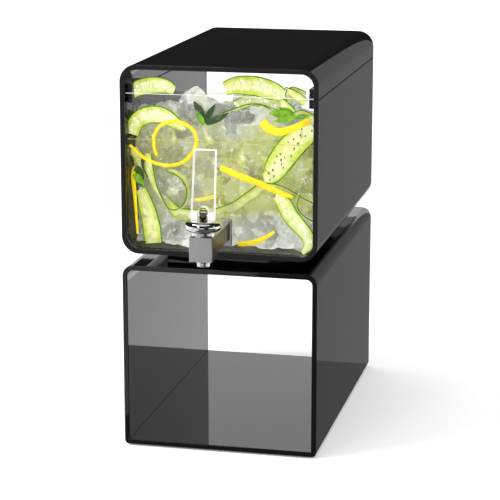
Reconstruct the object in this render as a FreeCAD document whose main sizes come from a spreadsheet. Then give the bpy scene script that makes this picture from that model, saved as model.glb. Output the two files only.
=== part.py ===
"""Countertop drinks dispenser: an open riser base, a lift-off box tank with a lever tap, and a lift-off lid.

Millimetres.  X runs across the dispenser, -Y points out of the tap side, Z is up.  The origin lies on the
counter under the middle of the outer box.  Every size that drives a shape is a cell of the Sizes sheet.
"""
import FreeCAD
import Part
import Sketcher

import os

DOCUMENT = FreeCAD.newDocument("DrinksDispenser")
ORIGIN = -1  # geometry index of a sketch's own origin point

SIZES = {
    # outer box
    "wide": 210.0, "front_y": -134.0, "rear_y": 216.0, "wall": 5.5,
    # feet and riser base
    "end_round": 0.7, "seam_round": 0.7,
    "foot_tall": 1.6, "foot_radius": 8.0, "foot_inset": 18.0,
    "plate_tall": 5.5, "plate_round": 4.8, "base_top": 200.2, "base_round": 12.0,
    # plinth between base and tank
    "tank_low": 213.2, "plinth_half": 61.5, "plinth_inset": 22.0, "plinth_gap": 0.5,
    "plinth_round": 1.2, "pad_radius": 9.0, "pad_sunk": 1.5, "pad_inset_x": 16.0, "pad_inset_y": 24.0,
    "pad_fit": 0.3,
    # tank and lid
    "seam_z": 382.8, "top_z": 413.5, "tank_round": 18.7, "window_recess": 2.0, "window_relief": 0.4,
    "tab_thick": 6.0, "tab_long": 40.0, "tab_low": 372.4, "tab_high": 392.4, "tab_gap": 0.5,
    # tap position
    "tap_y": -197.0, "shank_z": 241.6, "tap_half": 12.0, "tap_deep": 26.0,
    "tap_low": 226.6, "tap_high": 251.6, "neck_low": 233.6, "tap_edge": 0.8,
    # flange, washers, shank and nut
    "flange_wide": 29.0, "flange_tall": 28.0, "flange_thick": 6.5, "gasket_thick": 1.5, "flange_edge": 0.8,
    "shank_radius": 7.9, "spigot_radius": 5.4, "spigot_long": 12.0, "water_radius": 4.5, "slip_fit": 0.1,
    "window_hole": 8.2, "shank_end": -112.0, "seal_radius": 12.0, "seal_thick": 2.0,
    "washer_radius": 11.5, "washer_thick": 1.2, "nut_flats": 19.6, "nut_thick": 8.0,
    # nozzle
    "nozzle_radius": 7.0, "nozzle_long": 7.0, "nozzle_spigot": 5.5, "nozzle_sunk": 3.4, "nozzle_edge": 0.5,
    # valve chamber, collar and bonnet
    "chamber_radius": 7.1, "chamber_low": 232.0, "collar_radius": 13.0, "collar_thick": 4.6,
    "collar_edge": 0.5, "gasket_radius": 11.0, "gasket_tall": 0.6, "bonnet_radius": 19.2, "bonnet_tall": 11.0,
    "bonnet_flat": 14.0, "skirt_radius": 7.0, "skirt_long": 9.8, "spring_room": 5.4, "spring_roof": 259.0,
    # stem, cup and spring
    "stem_radius": 3.0, "stem_fit": 0.08, "stem_low": 233.5, "cup_radius": 6.2, "cup_high": 238.5,
    "stem_disc": 5.0, "stem_disc_thick": 1.5, "head_half": 3.5, "head_deep": 3.0, "head_lift": 0.6,
    "head_tall": 9.2, "head_round": 2.4, "coil_radius": 4.2, "wire_radius": 0.45, "coil_pitch": 3.4,
    # lever and its pin
    "lever_gap": 0.05, "heel": 4.0, "cam_rate": 3.0, "cam_step": 3.75, "lever_lean": 9.3,
    "lever_front": 5.6, "lever_back": 2.4, "lever_tall": 69.7, "lever_foot_half": 12.1,
    "lever_top_half": 11.3, "slot_half": 5.7, "slot_tall": 13.4, "lever_edge": 0.6,
    "pin_radius": 1.2, "pin_hole": 1.25, "pin_half": 11.85,
}

# Sizes that follow from others, as cell formulas.
DERIVED = {
    "shell_low": "=foot_tall + plate_tall",
    "window_y": "=front_y + window_recess",
    "rear_window_y": "=rear_y - window_recess",
    "inner_half": "=wide / 2 - wall",
    "tank_floor": "=tank_low + wall",
    "flange_y": "=window_y - gasket_thick - flange_thick",
    "tap_rear_y": "=tap_y + tap_deep / 2",
    "tap_front_y": "=tap_y - tap_deep / 2",
    "seal_y": "=window_y + wall",
    "washer_y": "=seal_y + seal_thick",
    "nut_y": "=washer_y + washer_thick",
    "gasket_z": "=tap_high + collar_thick",
    "bonnet_z": "=gasket_z + gasket_tall",
    "bonnet_top": "=bonnet_z + bonnet_tall",
    "pin_z": "=bonnet_top + heel + lever_gap",
    "spring_low": "=cup_high + stem_disc_thick",
    "lean_run": "=tan(lever_lean)",
}


def make_sheet():
    """Put every size and every derived size into the document's one sheet."""
    sheet = DOCUMENT.addObject("Spreadsheet::Sheet", "Sizes")
    rows = [(name, str(size)) for name, size in SIZES.items()] + list(DERIVED.items())
    for row, (name, text) in enumerate(rows, start=1):
        sheet.set(f"A{row}", name)
        sheet.set(f"B{row}", text)
        sheet.setAlias(f"B{row}", name)
    DOCUMENT.recompute()
    return sheet


SHEET = make_sheet()
WORDS = sorted(list(SIZES) + list(DERIVED), key=len, reverse=True)
NODES = []


def bound(text):
    """Turn a formula over size names into one the document's objects can read."""
    out, word = [], ""
    for letter in text + " ":
        if letter.isalpha() or letter == "_":
            word += letter
            continue
        out.append(f"Sizes.{word}" if word in WORDS else word)
        word = ""
        out.append(letter)
    return "".join(out).strip()


def bind(thing, **formulas):
    """Bind properties of a document object to formulas over the sheet (double underscore stands for a dot)."""
    for name, text in formulas.items():
        thing.setExpression(name.replace("__", "."), bound(text))


def node(thing, label):
    """Label a document object as one of the exported pieces."""
    thing.Label = label
    NODES.append(thing)
    return thing


def new_body(label, x="0", y="0", z="0"):
    """Start a PartDesign body standing at x, y, z."""
    body = node(DOCUMENT.addObject("PartDesign::Body", label), label)
    bind(body, Placement__Base__x=x, Placement__Base__y=y, Placement__Base__z=z)
    return body


def new_sketch(body, plane, offset="0"):
    """Lay an empty sketch on one of the body's planes, moved along that plane's normal."""
    sketch = body.newObject("Sketcher::SketchObject", f"{body.Name}Sketch")
    flat = [f for f in body.Origin.OriginFeatures if f.Role == f"{plane}_Plane"][0]
    sketch.AttachmentSupport = [(flat, "")]
    sketch.MapMode = "FlatFace"
    bind(sketch, AttachmentOffset__Base__z=offset)
    return sketch


def pin_point(sketch, index, part, across, up):
    """Fix one point of a sketch element by its two distances from the sketch's origin."""
    for kind, text in (("DistanceX", across), ("DistanceY", up)):
        number = sketch.addConstraint(Sketcher.Constraint(kind, ORIGIN, 1, index, part, 1.0))
        sketch.setExpression(f"Constraints[{number}]", bound(text))


def polygon(sketch, corners):
    """Close a chain of straight lines through corners, each given as two formulas."""
    count = len(corners)
    turn = [FreeCAD.Rotation(FreeCAD.Vector(0, 0, 1), 360.0 * i / count) for i in range(count)]
    spots = [r.multVec(FreeCAD.Vector(10, 0, 0)) for r in turn]
    first = sketch.GeometryCount
    for i in range(count):
        sketch.addGeometry(Part.LineSegment(spots[i], spots[(i + 1) % count]))
    for i in range(count):
        nxt = first + (i + 1) % count
        sketch.addConstraint(Sketcher.Constraint("Coincident", first + i, 2, nxt, 1))
    for i, (across, up) in enumerate(corners):
        pin_point(sketch, first + i, 1, across, up)


def circle(sketch, across, up, radius):
    """Draw a circle from two centre formulas and a radius formula."""
    ring = Part.Circle(FreeCAD.Vector(0, 0, 0), FreeCAD.Vector(0, 0, 1), 3.0)
    index = sketch.addGeometry(ring)
    pin_point(sketch, index, 3, across, up)
    number = sketch.addConstraint(Sketcher.Constraint("Radius", index, 3.0))
    sketch.setExpression(f"Constraints[{number}]", bound(radius))


def box_corners(left, right, low, high):
    """Four corners of an upright rectangle."""
    return [(left, low), (right, low), (right, high), (left, high)]


def span(plane, low, high):
    """Sketch offset and depth that carry a pad from low to high along the plane's own world axis."""
    return (f"-({high})" if plane == "XZ" else low), f"({high}) - ({low})"


def pad(body, plane, low, high, draw):
    """Add material between two positions along the plane's axis."""
    offset, depth = span(plane, low, high)
    sketch = new_sketch(body, plane, offset)
    draw(sketch)
    made = body.newObject("PartDesign::Pad", f"{body.Name}Pad")
    made.Profile = sketch
    bind(made, Length=depth)
    DOCUMENT.recompute()
    return made


def pocket(body, plane, low, high, draw):
    """Cut material between two positions along the plane's axis."""
    offset, depth = span(plane, low, high)
    sketch = new_sketch(body, plane, offset)
    draw(sketch)
    made = body.newObject("PartDesign::Pocket", f"{body.Name}Pocket")
    made.Profile = sketch
    made.Reversed = True
    bind(made, Length=depth)
    DOCUMENT.recompute()
    return made


def turned(body, plane, corners, axis):
    """Revolve a closed outline about one of its sketch's own axes."""
    sketch = new_sketch(body, plane)
    polygon(sketch, corners)
    made = body.newObject("PartDesign::Revolution", f"{body.Name}Turn")
    made.Profile = sketch
    made.ReferenceAxis = (sketch, [axis])
    made.Angle = 360.0
    DOCUMENT.recompute()
    return made


def fillet(body, radius, wanted):
    """Round the edges of the body's last feature whose middle point and direction pass a test."""
    last = body.Tip
    names = []
    for number, edge in enumerate(last.Shape.Edges, start=1):
        middle = edge.valueAt((edge.FirstParameter + edge.LastParameter) / 2)
        run = edge.Vertexes[-1].Point - edge.Vertexes[0].Point
        if wanted(middle, run):
            names.append(f"Edge{number}")
    made = body.newObject("PartDesign::Fillet", f"{body.Name}Fillet")
    made.Base = (last, names)
    bind(made, Radius=radius)
    DOCUMENT.recompute()
    return made


def size(name):
    """Present number in one cell of the sheet."""
    return float(SHEET.get(name))


def near(one, other, slack=0.01):
    """Whether two lengths agree."""
    return abs(one - other) < slack


def along_y(run):
    """Whether an edge runs straight along Y."""
    return abs(run.y) > 1.0 and near(run.x, 0) and near(run.z, 0)


def on_end(middle):
    """Whether an edge's middle lies on the front or the rear face of the outer box."""
    return near(middle.y, size("front_y")) or near(middle.y, size("rear_y"))


def along_z(run):
    """Whether an edge runs straight along Z."""
    return abs(run.z) > 1.0 and near(run.x, 0) and near(run.y, 0)


def ring_y(label, south, north, hole, rim):
    """A flat ring round the shank's line, between two positions along Y."""
    body = new_body(label, z="shank_z")
    corners = [(south, hole), (north, hole), (north, rim), (south, rim)]
    turned(body, "YZ", corners, "H_Axis")
    return body


def trough(label, low, high, radius, floor_up):
    """A U-shaped shell of one wall thickness, open upwards when floor_up is true and downwards otherwise.

    The two long corners at its closed side are rounded, outside by radius and inside by radius less the wall.
    """
    body = new_body(label)
    pad(body, "XZ", "front_y", "rear_y",
        lambda s: polygon(s, box_corners("-wide / 2", "wide / 2", low, high)))
    closed_z = size(low) if floor_up else size(high)
    fillet(body, radius, lambda m, run: along_y(run) and near(m.z, closed_z))
    inner = (f"{low} + wall", high) if floor_up else (low, f"{high} - wall")
    pocket(body, "XZ", "front_y", "rear_y",
           lambda s: polygon(s, box_corners("-inner_half", "inner_half", *inner)))
    inner_z = closed_z + (size("wall") if floor_up else -size("wall"))
    fillet(body, f"{radius} - wall",
           lambda m, run: along_y(run) and near(m.z, inner_z) and near(abs(m.x), size("inner_half")))
    open_z = size(high) if floor_up else size(low)
    fillet(body, "end_round", lambda m, run: on_end(m) and not near(m.z, open_z))
    fillet(body, "seam_round", lambda m, run: (
        along_y(run) and near(m.z, open_z) and near(abs(m.x), size("wide") / 2)))
    return body


def window(label, south, north, low, high, round_low):
    """A clear end panel that fills the trough between its walls."""
    body = new_body(label)
    pad(body, "XZ", south, north,
        lambda s: polygon(s, box_corners("-inner_half", "inner_half", low, high)))
    level = size("tank_floor") if round_low else size("top_z") - size("wall")
    fillet(body, "tank_round - wall + window_relief", lambda m, run: along_y(run) and near(m.z, level))
    return body


# Riser base: four low feet, a floor plate and an upturned trough standing on it.
def make_base():
    for label, x, y in (
        ("foot_front_left", "-wide / 2 + foot_inset", "front_y + foot_inset"),
        ("foot_front_right", "wide / 2 - foot_inset", "front_y + foot_inset"),
        ("foot_rear_left", "-wide / 2 + foot_inset", "rear_y - foot_inset"),
        ("foot_rear_right", "wide / 2 - foot_inset", "rear_y - foot_inset"),
    ):
        foot = node(DOCUMENT.addObject("Part::Cylinder", label), label)
        bind(foot, Radius="foot_radius", Height="foot_tall", Placement__Base__x=x, Placement__Base__y=y)
    plate = new_body("base_plate")
    pad(plate, "XZ", "front_y", "rear_y",
        lambda s: polygon(s, box_corners("-wide / 2", "wide / 2", "foot_tall", "foot_tall + plate_tall")))
    fillet(plate, "plate_round", lambda m, run: along_y(run) and near(m.z, size("foot_tall")))
    fillet(plate, "end_round", lambda m, run: on_end(m))
    trough("base_shell", "shell_low", "base_top", "base_round", False)


# Plinth glued under the tank, with four soft pads let into its underside.
def make_plinth():
    body = new_body("tank_plinth")
    south, north = "front_y + plinth_inset", "rear_y - plinth_inset"
    pad(body, "XY", "base_top + plinth_gap", "tank_low",
        lambda s: polygon(s, [("-plinth_half", south), ("plinth_half", south),
                              ("plinth_half", north), ("-plinth_half", north)]))
    fillet(body, "plinth_round", lambda m, run: along_z(run))
    spots = []
    for x in ("-plinth_half + pad_inset_x", "plinth_half - pad_inset_x"):
        for y in (f"{south} + pad_inset_y", f"{north} - pad_inset_y"):
            spots.append((x, y))

    def holes(sketch):
        for x, y in spots:
            circle(sketch, x, y, "pad_radius + pad_fit")

    pocket(body, "XY", "base_top + plinth_gap", "base_top + plinth_gap + pad_sunk", holes)
    names = ("plinth_pad_front_left", "plinth_pad_rear_left", "plinth_pad_front_right", "plinth_pad_rear_right")
    for label, (x, y) in zip(names, spots):
        disc = node(DOCUMENT.addObject("Part::Cylinder", label), label)
        bind(disc, Radius="pad_radius", Height="plinth_gap + pad_sunk", Placement__Base__x=x,
             Placement__Base__y=y, Placement__Base__z="base_top")


# Tank: a trough with a clear window let in at each end, the front one bored for the tap.
def make_tank():
    trough("tank_shell", "tank_low", "seam_z", "tank_round", True)
    front = window("tank_front_window", "window_y", "window_y + wall", "tank_floor", "seam_z", True)
    pocket(front, "XZ", "window_y", "window_y + wall", lambda s: circle(s, "0", "shank_z", "window_hole"))
    window("tank_rear_window", "rear_window_y - wall", "rear_window_y", "tank_floor", "seam_z", True)


# Lid: a shallower trough turned over, its own end windows, and four tabs that reach down into the tank.
def make_lid():
    trough("lid_shell", "seam_z", "top_z", "tank_round", False)
    window("lid_front_window", "window_y", "window_y + wall", "seam_z", "top_z - wall", False)
    window("lid_rear_window", "rear_window_y - wall", "rear_window_y", "seam_z", "top_z - wall", False)
    for end, south in (("front", "window_y + wall + tab_gap"),
                       ("rear", "rear_window_y - wall - tab_gap - tab_long")):
        for hand, sign in (("left", "-"), ("right", "")):
            body = new_body(f"lid_tab_{end}_{hand}")
            wall_x = f"{sign}inner_half"
            clear_x = f"{sign}(inner_half - tab_gap)"
            free_x = f"{sign}(inner_half - tab_thick)"
            outline = [(free_x, "tab_low"), (clear_x, "tab_low"), (clear_x, "seam_z + tab_gap"),
                       (wall_x, "seam_z + tab_gap"), (wall_x, "tab_high"), (free_x, "tab_high")]
            pad(body, "XZ", south, f"{south} + tab_long", lambda s, o=outline: polygon(s, o))


# Tap housing: an upright block with a neck back to the window flange, bored for stem, outlet and inlet.
def make_tap_body():
    body = new_body("tap_body")
    pad(body, "XZ", "tap_front_y", "tap_rear_y",
        lambda s: polygon(s, box_corners("-tap_half", "tap_half", "tap_low", "tap_high")))
    pad(body, "XZ", "tap_rear_y", "flange_y",
        lambda s: polygon(s, box_corners("-tap_half", "tap_half", "neck_low", "tap_high")))
    fillet(body, "tap_edge", lambda m, run: (
        (along_y(run) and near(abs(m.x), size("tap_half"))) or
        (along_z(run) and near(m.y, size("tap_front_y"))) or
        (along_z(run) and near(m.y, size("tap_rear_y")) and m.z < size("neck_low"))))
    pocket(body, "XY", "chamber_low", "tap_high", lambda s: circle(s, "0", "tap_y", "chamber_radius"))
    pocket(body, "XY", "tap_low", "chamber_low", lambda s: circle(s, "0", "tap_y", "water_radius"))
    pocket(body, "XY", "tap_low", "tap_low + nozzle_sunk + slip_fit",
           lambda s: circle(s, "0", "tap_y", "nozzle_spigot + slip_fit"))
    pocket(body, "XZ", "tap_y", "flange_y", lambda s: circle(s, "0", "shank_z", "water_radius"))
    pocket(body, "XZ", "flange_y - spigot_long - slip_fit", "flange_y",
           lambda s: circle(s, "0", "shank_z", "spigot_radius + slip_fit"))


# Parts on the shank's line, from the flange through the window to the nut inside the tank.
def make_shank_parts():
    flange = new_body("tap_flange", z="shank_z")
    pad(flange, "XZ", "flange_y", "flange_y + flange_thick",
        lambda s: polygon(s, box_corners("-flange_wide / 2", "flange_wide / 2",
                                         "-flange_tall / 2", "flange_tall / 2")))
    fillet(flange, "flange_edge", lambda m, run: near(m.y, size("flange_y")) or along_y(run))
    pocket(flange, "XZ", "flange_y", "flange_y + flange_thick",
           lambda s: circle(s, "0", "0", "shank_radius + slip_fit"))
    ring_y("flange_washer", "window_y - gasket_thick", "window_y", "shank_radius + slip_fit",
           "flange_tall / 2 - flange_edge")
    ring_y("inner_seal", "seal_y", "washer_y", "shank_radius + slip_fit", "seal_radius")
    ring_y("shank_washer", "washer_y", "nut_y", "shank_radius + slip_fit", "washer_radius")
    shank = new_body("tap_shank", z="shank_z")
    turned(shank, "YZ", [
        ("flange_y - spigot_long", "water_radius"), ("shank_end", "water_radius"),
        ("shank_end", "shank_radius - 0.6"), ("shank_end - 0.6", "shank_radius"),
        ("flange_y", "shank_radius"), ("flange_y", "spigot_radius"),
        ("flange_y - spigot_long", "spigot_radius")], "H_Axis")
    nut = new_body("shank_nut", z="shank_z")
    flat, corner = "nut_flats / 2", "nut_flats / sqrt(3)"
    pad(nut, "XZ", "nut_y", "nut_y + nut_thick", lambda s: polygon(s, [
        (flat, f"-{corner} / 2"), (flat, f"{corner} / 2"), ("0", corner),
        (f"-{flat}", f"{corner} / 2"), (f"-{flat}", f"-{corner} / 2"), ("0", f"-{corner}")]))
    pocket(nut, "XZ", "nut_y", "nut_y + nut_thick", lambda s: circle(s, "0", "0", "shank_radius + slip_fit"))


# Parts on the stem's line that stay with the tank: nozzle, collar, gasket and bonnet.
def make_stem_housing():
    nozzle = new_body("tap_nozzle", y="tap_y")
    turned(nozzle, "XZ", [
        ("water_radius", "tap_low - nozzle_long"), ("nozzle_radius - nozzle_edge", "tap_low - nozzle_long"),
        ("nozzle_radius", "tap_low - nozzle_long + nozzle_edge"), ("nozzle_radius", "tap_low"),
        ("nozzle_spigot", "tap_low"), ("nozzle_spigot", "tap_low + nozzle_sunk"),
        ("water_radius", "tap_low + nozzle_sunk")], "V_Axis")
    collar = new_body("tap_collar", y="tap_y")
    turned(collar, "XZ", [
        ("skirt_radius + slip_fit", "tap_high"), ("collar_radius - collar_edge", "tap_high"),
        ("collar_radius", "tap_high + collar_edge"), ("collar_radius", "gasket_z - collar_edge"),
        ("collar_radius - collar_edge", "gasket_z"), ("skirt_radius + slip_fit", "gasket_z")], "V_Axis")
    gasket = new_body("bonnet_gasket", y="tap_y")
    turned(gasket, "XZ", [
        ("skirt_radius + slip_fit", "gasket_z"), ("gasket_radius", "gasket_z"),
        ("gasket_radius", "bonnet_z"), ("skirt_radius + slip_fit", "bonnet_z")], "V_Axis")
    bonnet = new_body("tap_bonnet", y="tap_y")
    bulge = []
    for turn in (-90, -67.5, -45, -22.5, 0, 22.5, 45, 67.5, 90):
        bulge.append((f"bonnet_flat + (bonnet_radius - bonnet_flat) * cos({turn})",
                      f"bonnet_z + bonnet_tall / 2 * (1 + sin({turn}))"))
    turned(bonnet, "XZ", [
        ("spring_room", "bonnet_z - skirt_long"), ("skirt_radius", "bonnet_z - skirt_long"),
        ("skirt_radius", "bonnet_z")] + bulge + [
        ("stem_radius + stem_fit", "bonnet_top"), ("stem_radius + stem_fit", "spring_roof"),
        ("spring_room", "spring_roof")], "V_Axis")


# Sprung valve stem: cup on the seat, rod through the bonnet, flat head that carries the lever's pin.
def make_stem():
    cup = new_body("seat_cup", y="tap_y")
    turned(cup, "XZ", [
        ("0", "chamber_low"), ("cup_radius - 0.8", "chamber_low"), ("cup_radius", "chamber_low + 0.8"),
        ("cup_radius", "cup_high"), ("stem_radius", "cup_high"), ("stem_radius", "stem_low"),
        ("0", "stem_low")], "V_Axis")
    stem = new_body("valve_stem", y="tap_y")
    turned(stem, "XZ", [
        ("0", "stem_low"), ("stem_radius", "stem_low"), ("stem_radius", "cup_high"),
        ("stem_disc", "cup_high"), ("stem_disc", "spring_low"), ("stem_radius", "spring_low"),
        ("stem_radius", "bonnet_top + head_lift + 1"), ("0", "bonnet_top + head_lift + 1")], "V_Axis")
    low, high = "bonnet_top + head_lift", "bonnet_top + head_lift + head_tall"
    pad(stem, "XZ", "-head_deep", "head_deep",
        lambda s: polygon(s, box_corners("-head_half", "head_half", low, high)))
    top = size("bonnet_top") + size("head_lift") + size("head_tall")
    fillet(stem, "head_round", lambda m, run: abs(run.x) > 1 and near(run.y, 0) and near(m.z, top))
    pocket(stem, "YZ", "-head_half", "head_half", lambda s: circle(s, "0", "pin_z", "pin_hole"))
    spring = new_body("valve_spring", y="tap_y")
    sketch = new_sketch(spring, "XZ")
    circle(sketch, "coil_radius", "spring_low + wire_radius + 0.05", "wire_radius")
    coil = spring.newObject("PartDesign::AdditiveHelix", "Coil")
    coil.Profile = sketch
    coil.ReferenceAxis = (sketch, ["V_Axis"])
    coil.Mode = "pitch-height-angle"
    coil.Angle = 0
    coil.Growth = 0
    bind(coil, Pitch="coil_pitch", Height="spring_roof - spring_low - 2 * wire_radius - 0.1")
    DOCUMENT.recompute()


# Lever: a clear bar leaning back at rest, forked over the stem's head.  Its heel is an involute of a circle
# of cam_rate, so that the pin rises by cam_rate for each radian of tilt while the heel stays on the bonnet.
def make_lever():
    body = new_body("tap_lever", y="tap_y", z="pin_z")
    heel = []
    for step in range(9):
        tilt = f"({step} * cam_step)"
        reach = f"(heel + cam_rate * {tilt} * pi / 180)"
        heel.append((f"-{reach} * sin({tilt}) - cam_rate * cos({tilt})",
                     f"-{reach} * cos({tilt}) + cam_rate * sin({tilt})"))
    top = "lever_tall - heel"
    side = heel + [
        (f"-lever_front + ({top}) * lean_run", top), (f"lever_back + ({top}) * lean_run", top),
        ("lever_back - heel * lean_run", "-heel")]
    pad(body, "YZ", "-lever_foot_half", "lever_foot_half", lambda s: polygon(s, side))
    for sign in ("-", ""):
        pocket(body, "XZ", "-30", "30", lambda s, g=sign: polygon(s, [
            (f"{g}(lever_foot_half + 2)", "-heel"), (f"{g}lever_foot_half", "-heel"),
            (f"{g}lever_top_half", top), (f"{g}(lever_foot_half + 2)", top)]))
    crest = size("lever_tall") - size("heel")
    fillet(body, "lever_edge", lambda m, run: (
        (abs(run.z) > 30 or (abs(run.x) > 10 and near(m.z, crest)) or
         (near(m.z, crest) and abs(run.y) > 5))))
    pocket(body, "XZ", "-30", "30",
           lambda s: polygon(s, box_corners("-slot_half", "slot_half", "-heel - 1",
                                            "slot_tall - slot_half - heel")))
    pocket(body, "XZ", "-30", "30", lambda s: circle(s, "0", "slot_tall - slot_half - heel", "slot_half"))
    pocket(body, "YZ", "-lever_foot_half - 1", "lever_foot_half + 1",
           lambda s: circle(s, "0", "0", "pin_radius"))
    rod = node(DOCUMENT.addObject("Part::Cylinder", "lever_pin"), "lever_pin")
    rod.Placement = FreeCAD.Placement(FreeCAD.Vector(0, 0, 0), FreeCAD.Rotation(FreeCAD.Vector(0, 1, 0), 90))
    bind(rod, Radius="pin_radius - 0.02", Height="2 * pin_half", Placement__Base__x="-pin_half",
         Placement__Base__y="tap_y", Placement__Base__z="pin_z")


def export():
    """Check every object of the document, then write each piece as its own STEP file."""
    DOCUMENT.recompute()
    for thing in DOCUMENT.Objects:
        if "Invalid" in thing.State or "Error" in thing.State:
            raise RuntimeError(f"{thing.Label}: {thing.State}")
    os.makedirs("parts", exist_ok=True)
    for piece in NODES:
        shape = piece.Shape
        if shape.isNull() or not shape.isValid():
            raise RuntimeError(f"{piece.Label}: bad shape")
        shape.exportStep(f"parts/{piece.Label}.step")
        box = shape.BoundBox
        print(f"{piece.Label:24s} solids {len(shape.Solids)} vol {shape.Volume / 1000:9.3f} cm3  "
              f"x {box.XMin:8.2f} {box.XMax:8.2f}  y {box.YMin:8.2f} {box.YMax:8.2f}  "
              f"z {box.ZMin:8.2f} {box.ZMax:8.2f}")


make_base()
make_plinth()
make_tank()
make_lid()
make_tap_body()
make_shank_parts()
make_stem_housing()
make_stem()
make_lever()
export()
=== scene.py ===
"""Finishes and filling for a countertop drinks dispenser on an open riser base.

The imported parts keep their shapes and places.  This script gives each one its finish, builds the iced
cucumber, lemon and mint drink that stands in the tank, and sets up the studio that shows them.
Lengths are metres in the part's own frame; sizes given in millimetres are turned into metres by MM.
"""

from __future__ import annotations

import logging
import math
import random
from collections.abc import Callable, Iterable, Sequence
from dataclasses import dataclass, field
from enum import Enum

import bmesh
import bpy
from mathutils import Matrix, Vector, noise


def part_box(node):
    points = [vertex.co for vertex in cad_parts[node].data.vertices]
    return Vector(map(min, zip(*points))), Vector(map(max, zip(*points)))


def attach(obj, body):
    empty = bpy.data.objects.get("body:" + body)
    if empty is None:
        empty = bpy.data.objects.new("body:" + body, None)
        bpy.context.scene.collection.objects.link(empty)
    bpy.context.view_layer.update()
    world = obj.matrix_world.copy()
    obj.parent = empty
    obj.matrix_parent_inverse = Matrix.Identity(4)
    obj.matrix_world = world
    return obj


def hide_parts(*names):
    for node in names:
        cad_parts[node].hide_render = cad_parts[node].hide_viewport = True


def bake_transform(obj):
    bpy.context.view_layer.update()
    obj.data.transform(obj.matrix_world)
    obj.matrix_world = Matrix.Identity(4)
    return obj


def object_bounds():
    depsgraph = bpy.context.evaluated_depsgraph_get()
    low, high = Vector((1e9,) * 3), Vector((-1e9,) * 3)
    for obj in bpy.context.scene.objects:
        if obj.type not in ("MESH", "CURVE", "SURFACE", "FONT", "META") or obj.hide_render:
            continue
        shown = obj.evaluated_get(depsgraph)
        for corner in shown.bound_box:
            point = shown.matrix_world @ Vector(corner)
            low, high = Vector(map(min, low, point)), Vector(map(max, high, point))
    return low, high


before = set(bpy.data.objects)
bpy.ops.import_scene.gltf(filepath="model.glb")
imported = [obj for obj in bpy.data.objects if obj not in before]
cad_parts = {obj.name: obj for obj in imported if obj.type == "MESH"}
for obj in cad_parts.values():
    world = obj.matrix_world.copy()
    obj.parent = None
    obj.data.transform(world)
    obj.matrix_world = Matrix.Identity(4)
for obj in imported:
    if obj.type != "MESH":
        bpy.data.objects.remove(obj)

CAD_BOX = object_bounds()
MM = 0.001
LOG = logging.getLogger("dispenser")
Colour = tuple[float, float, float]
Socket = bpy.types.NodeSocket
Node = bpy.types.Node


# ------------------------------------------------------------------------------------------------ node trees


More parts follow.
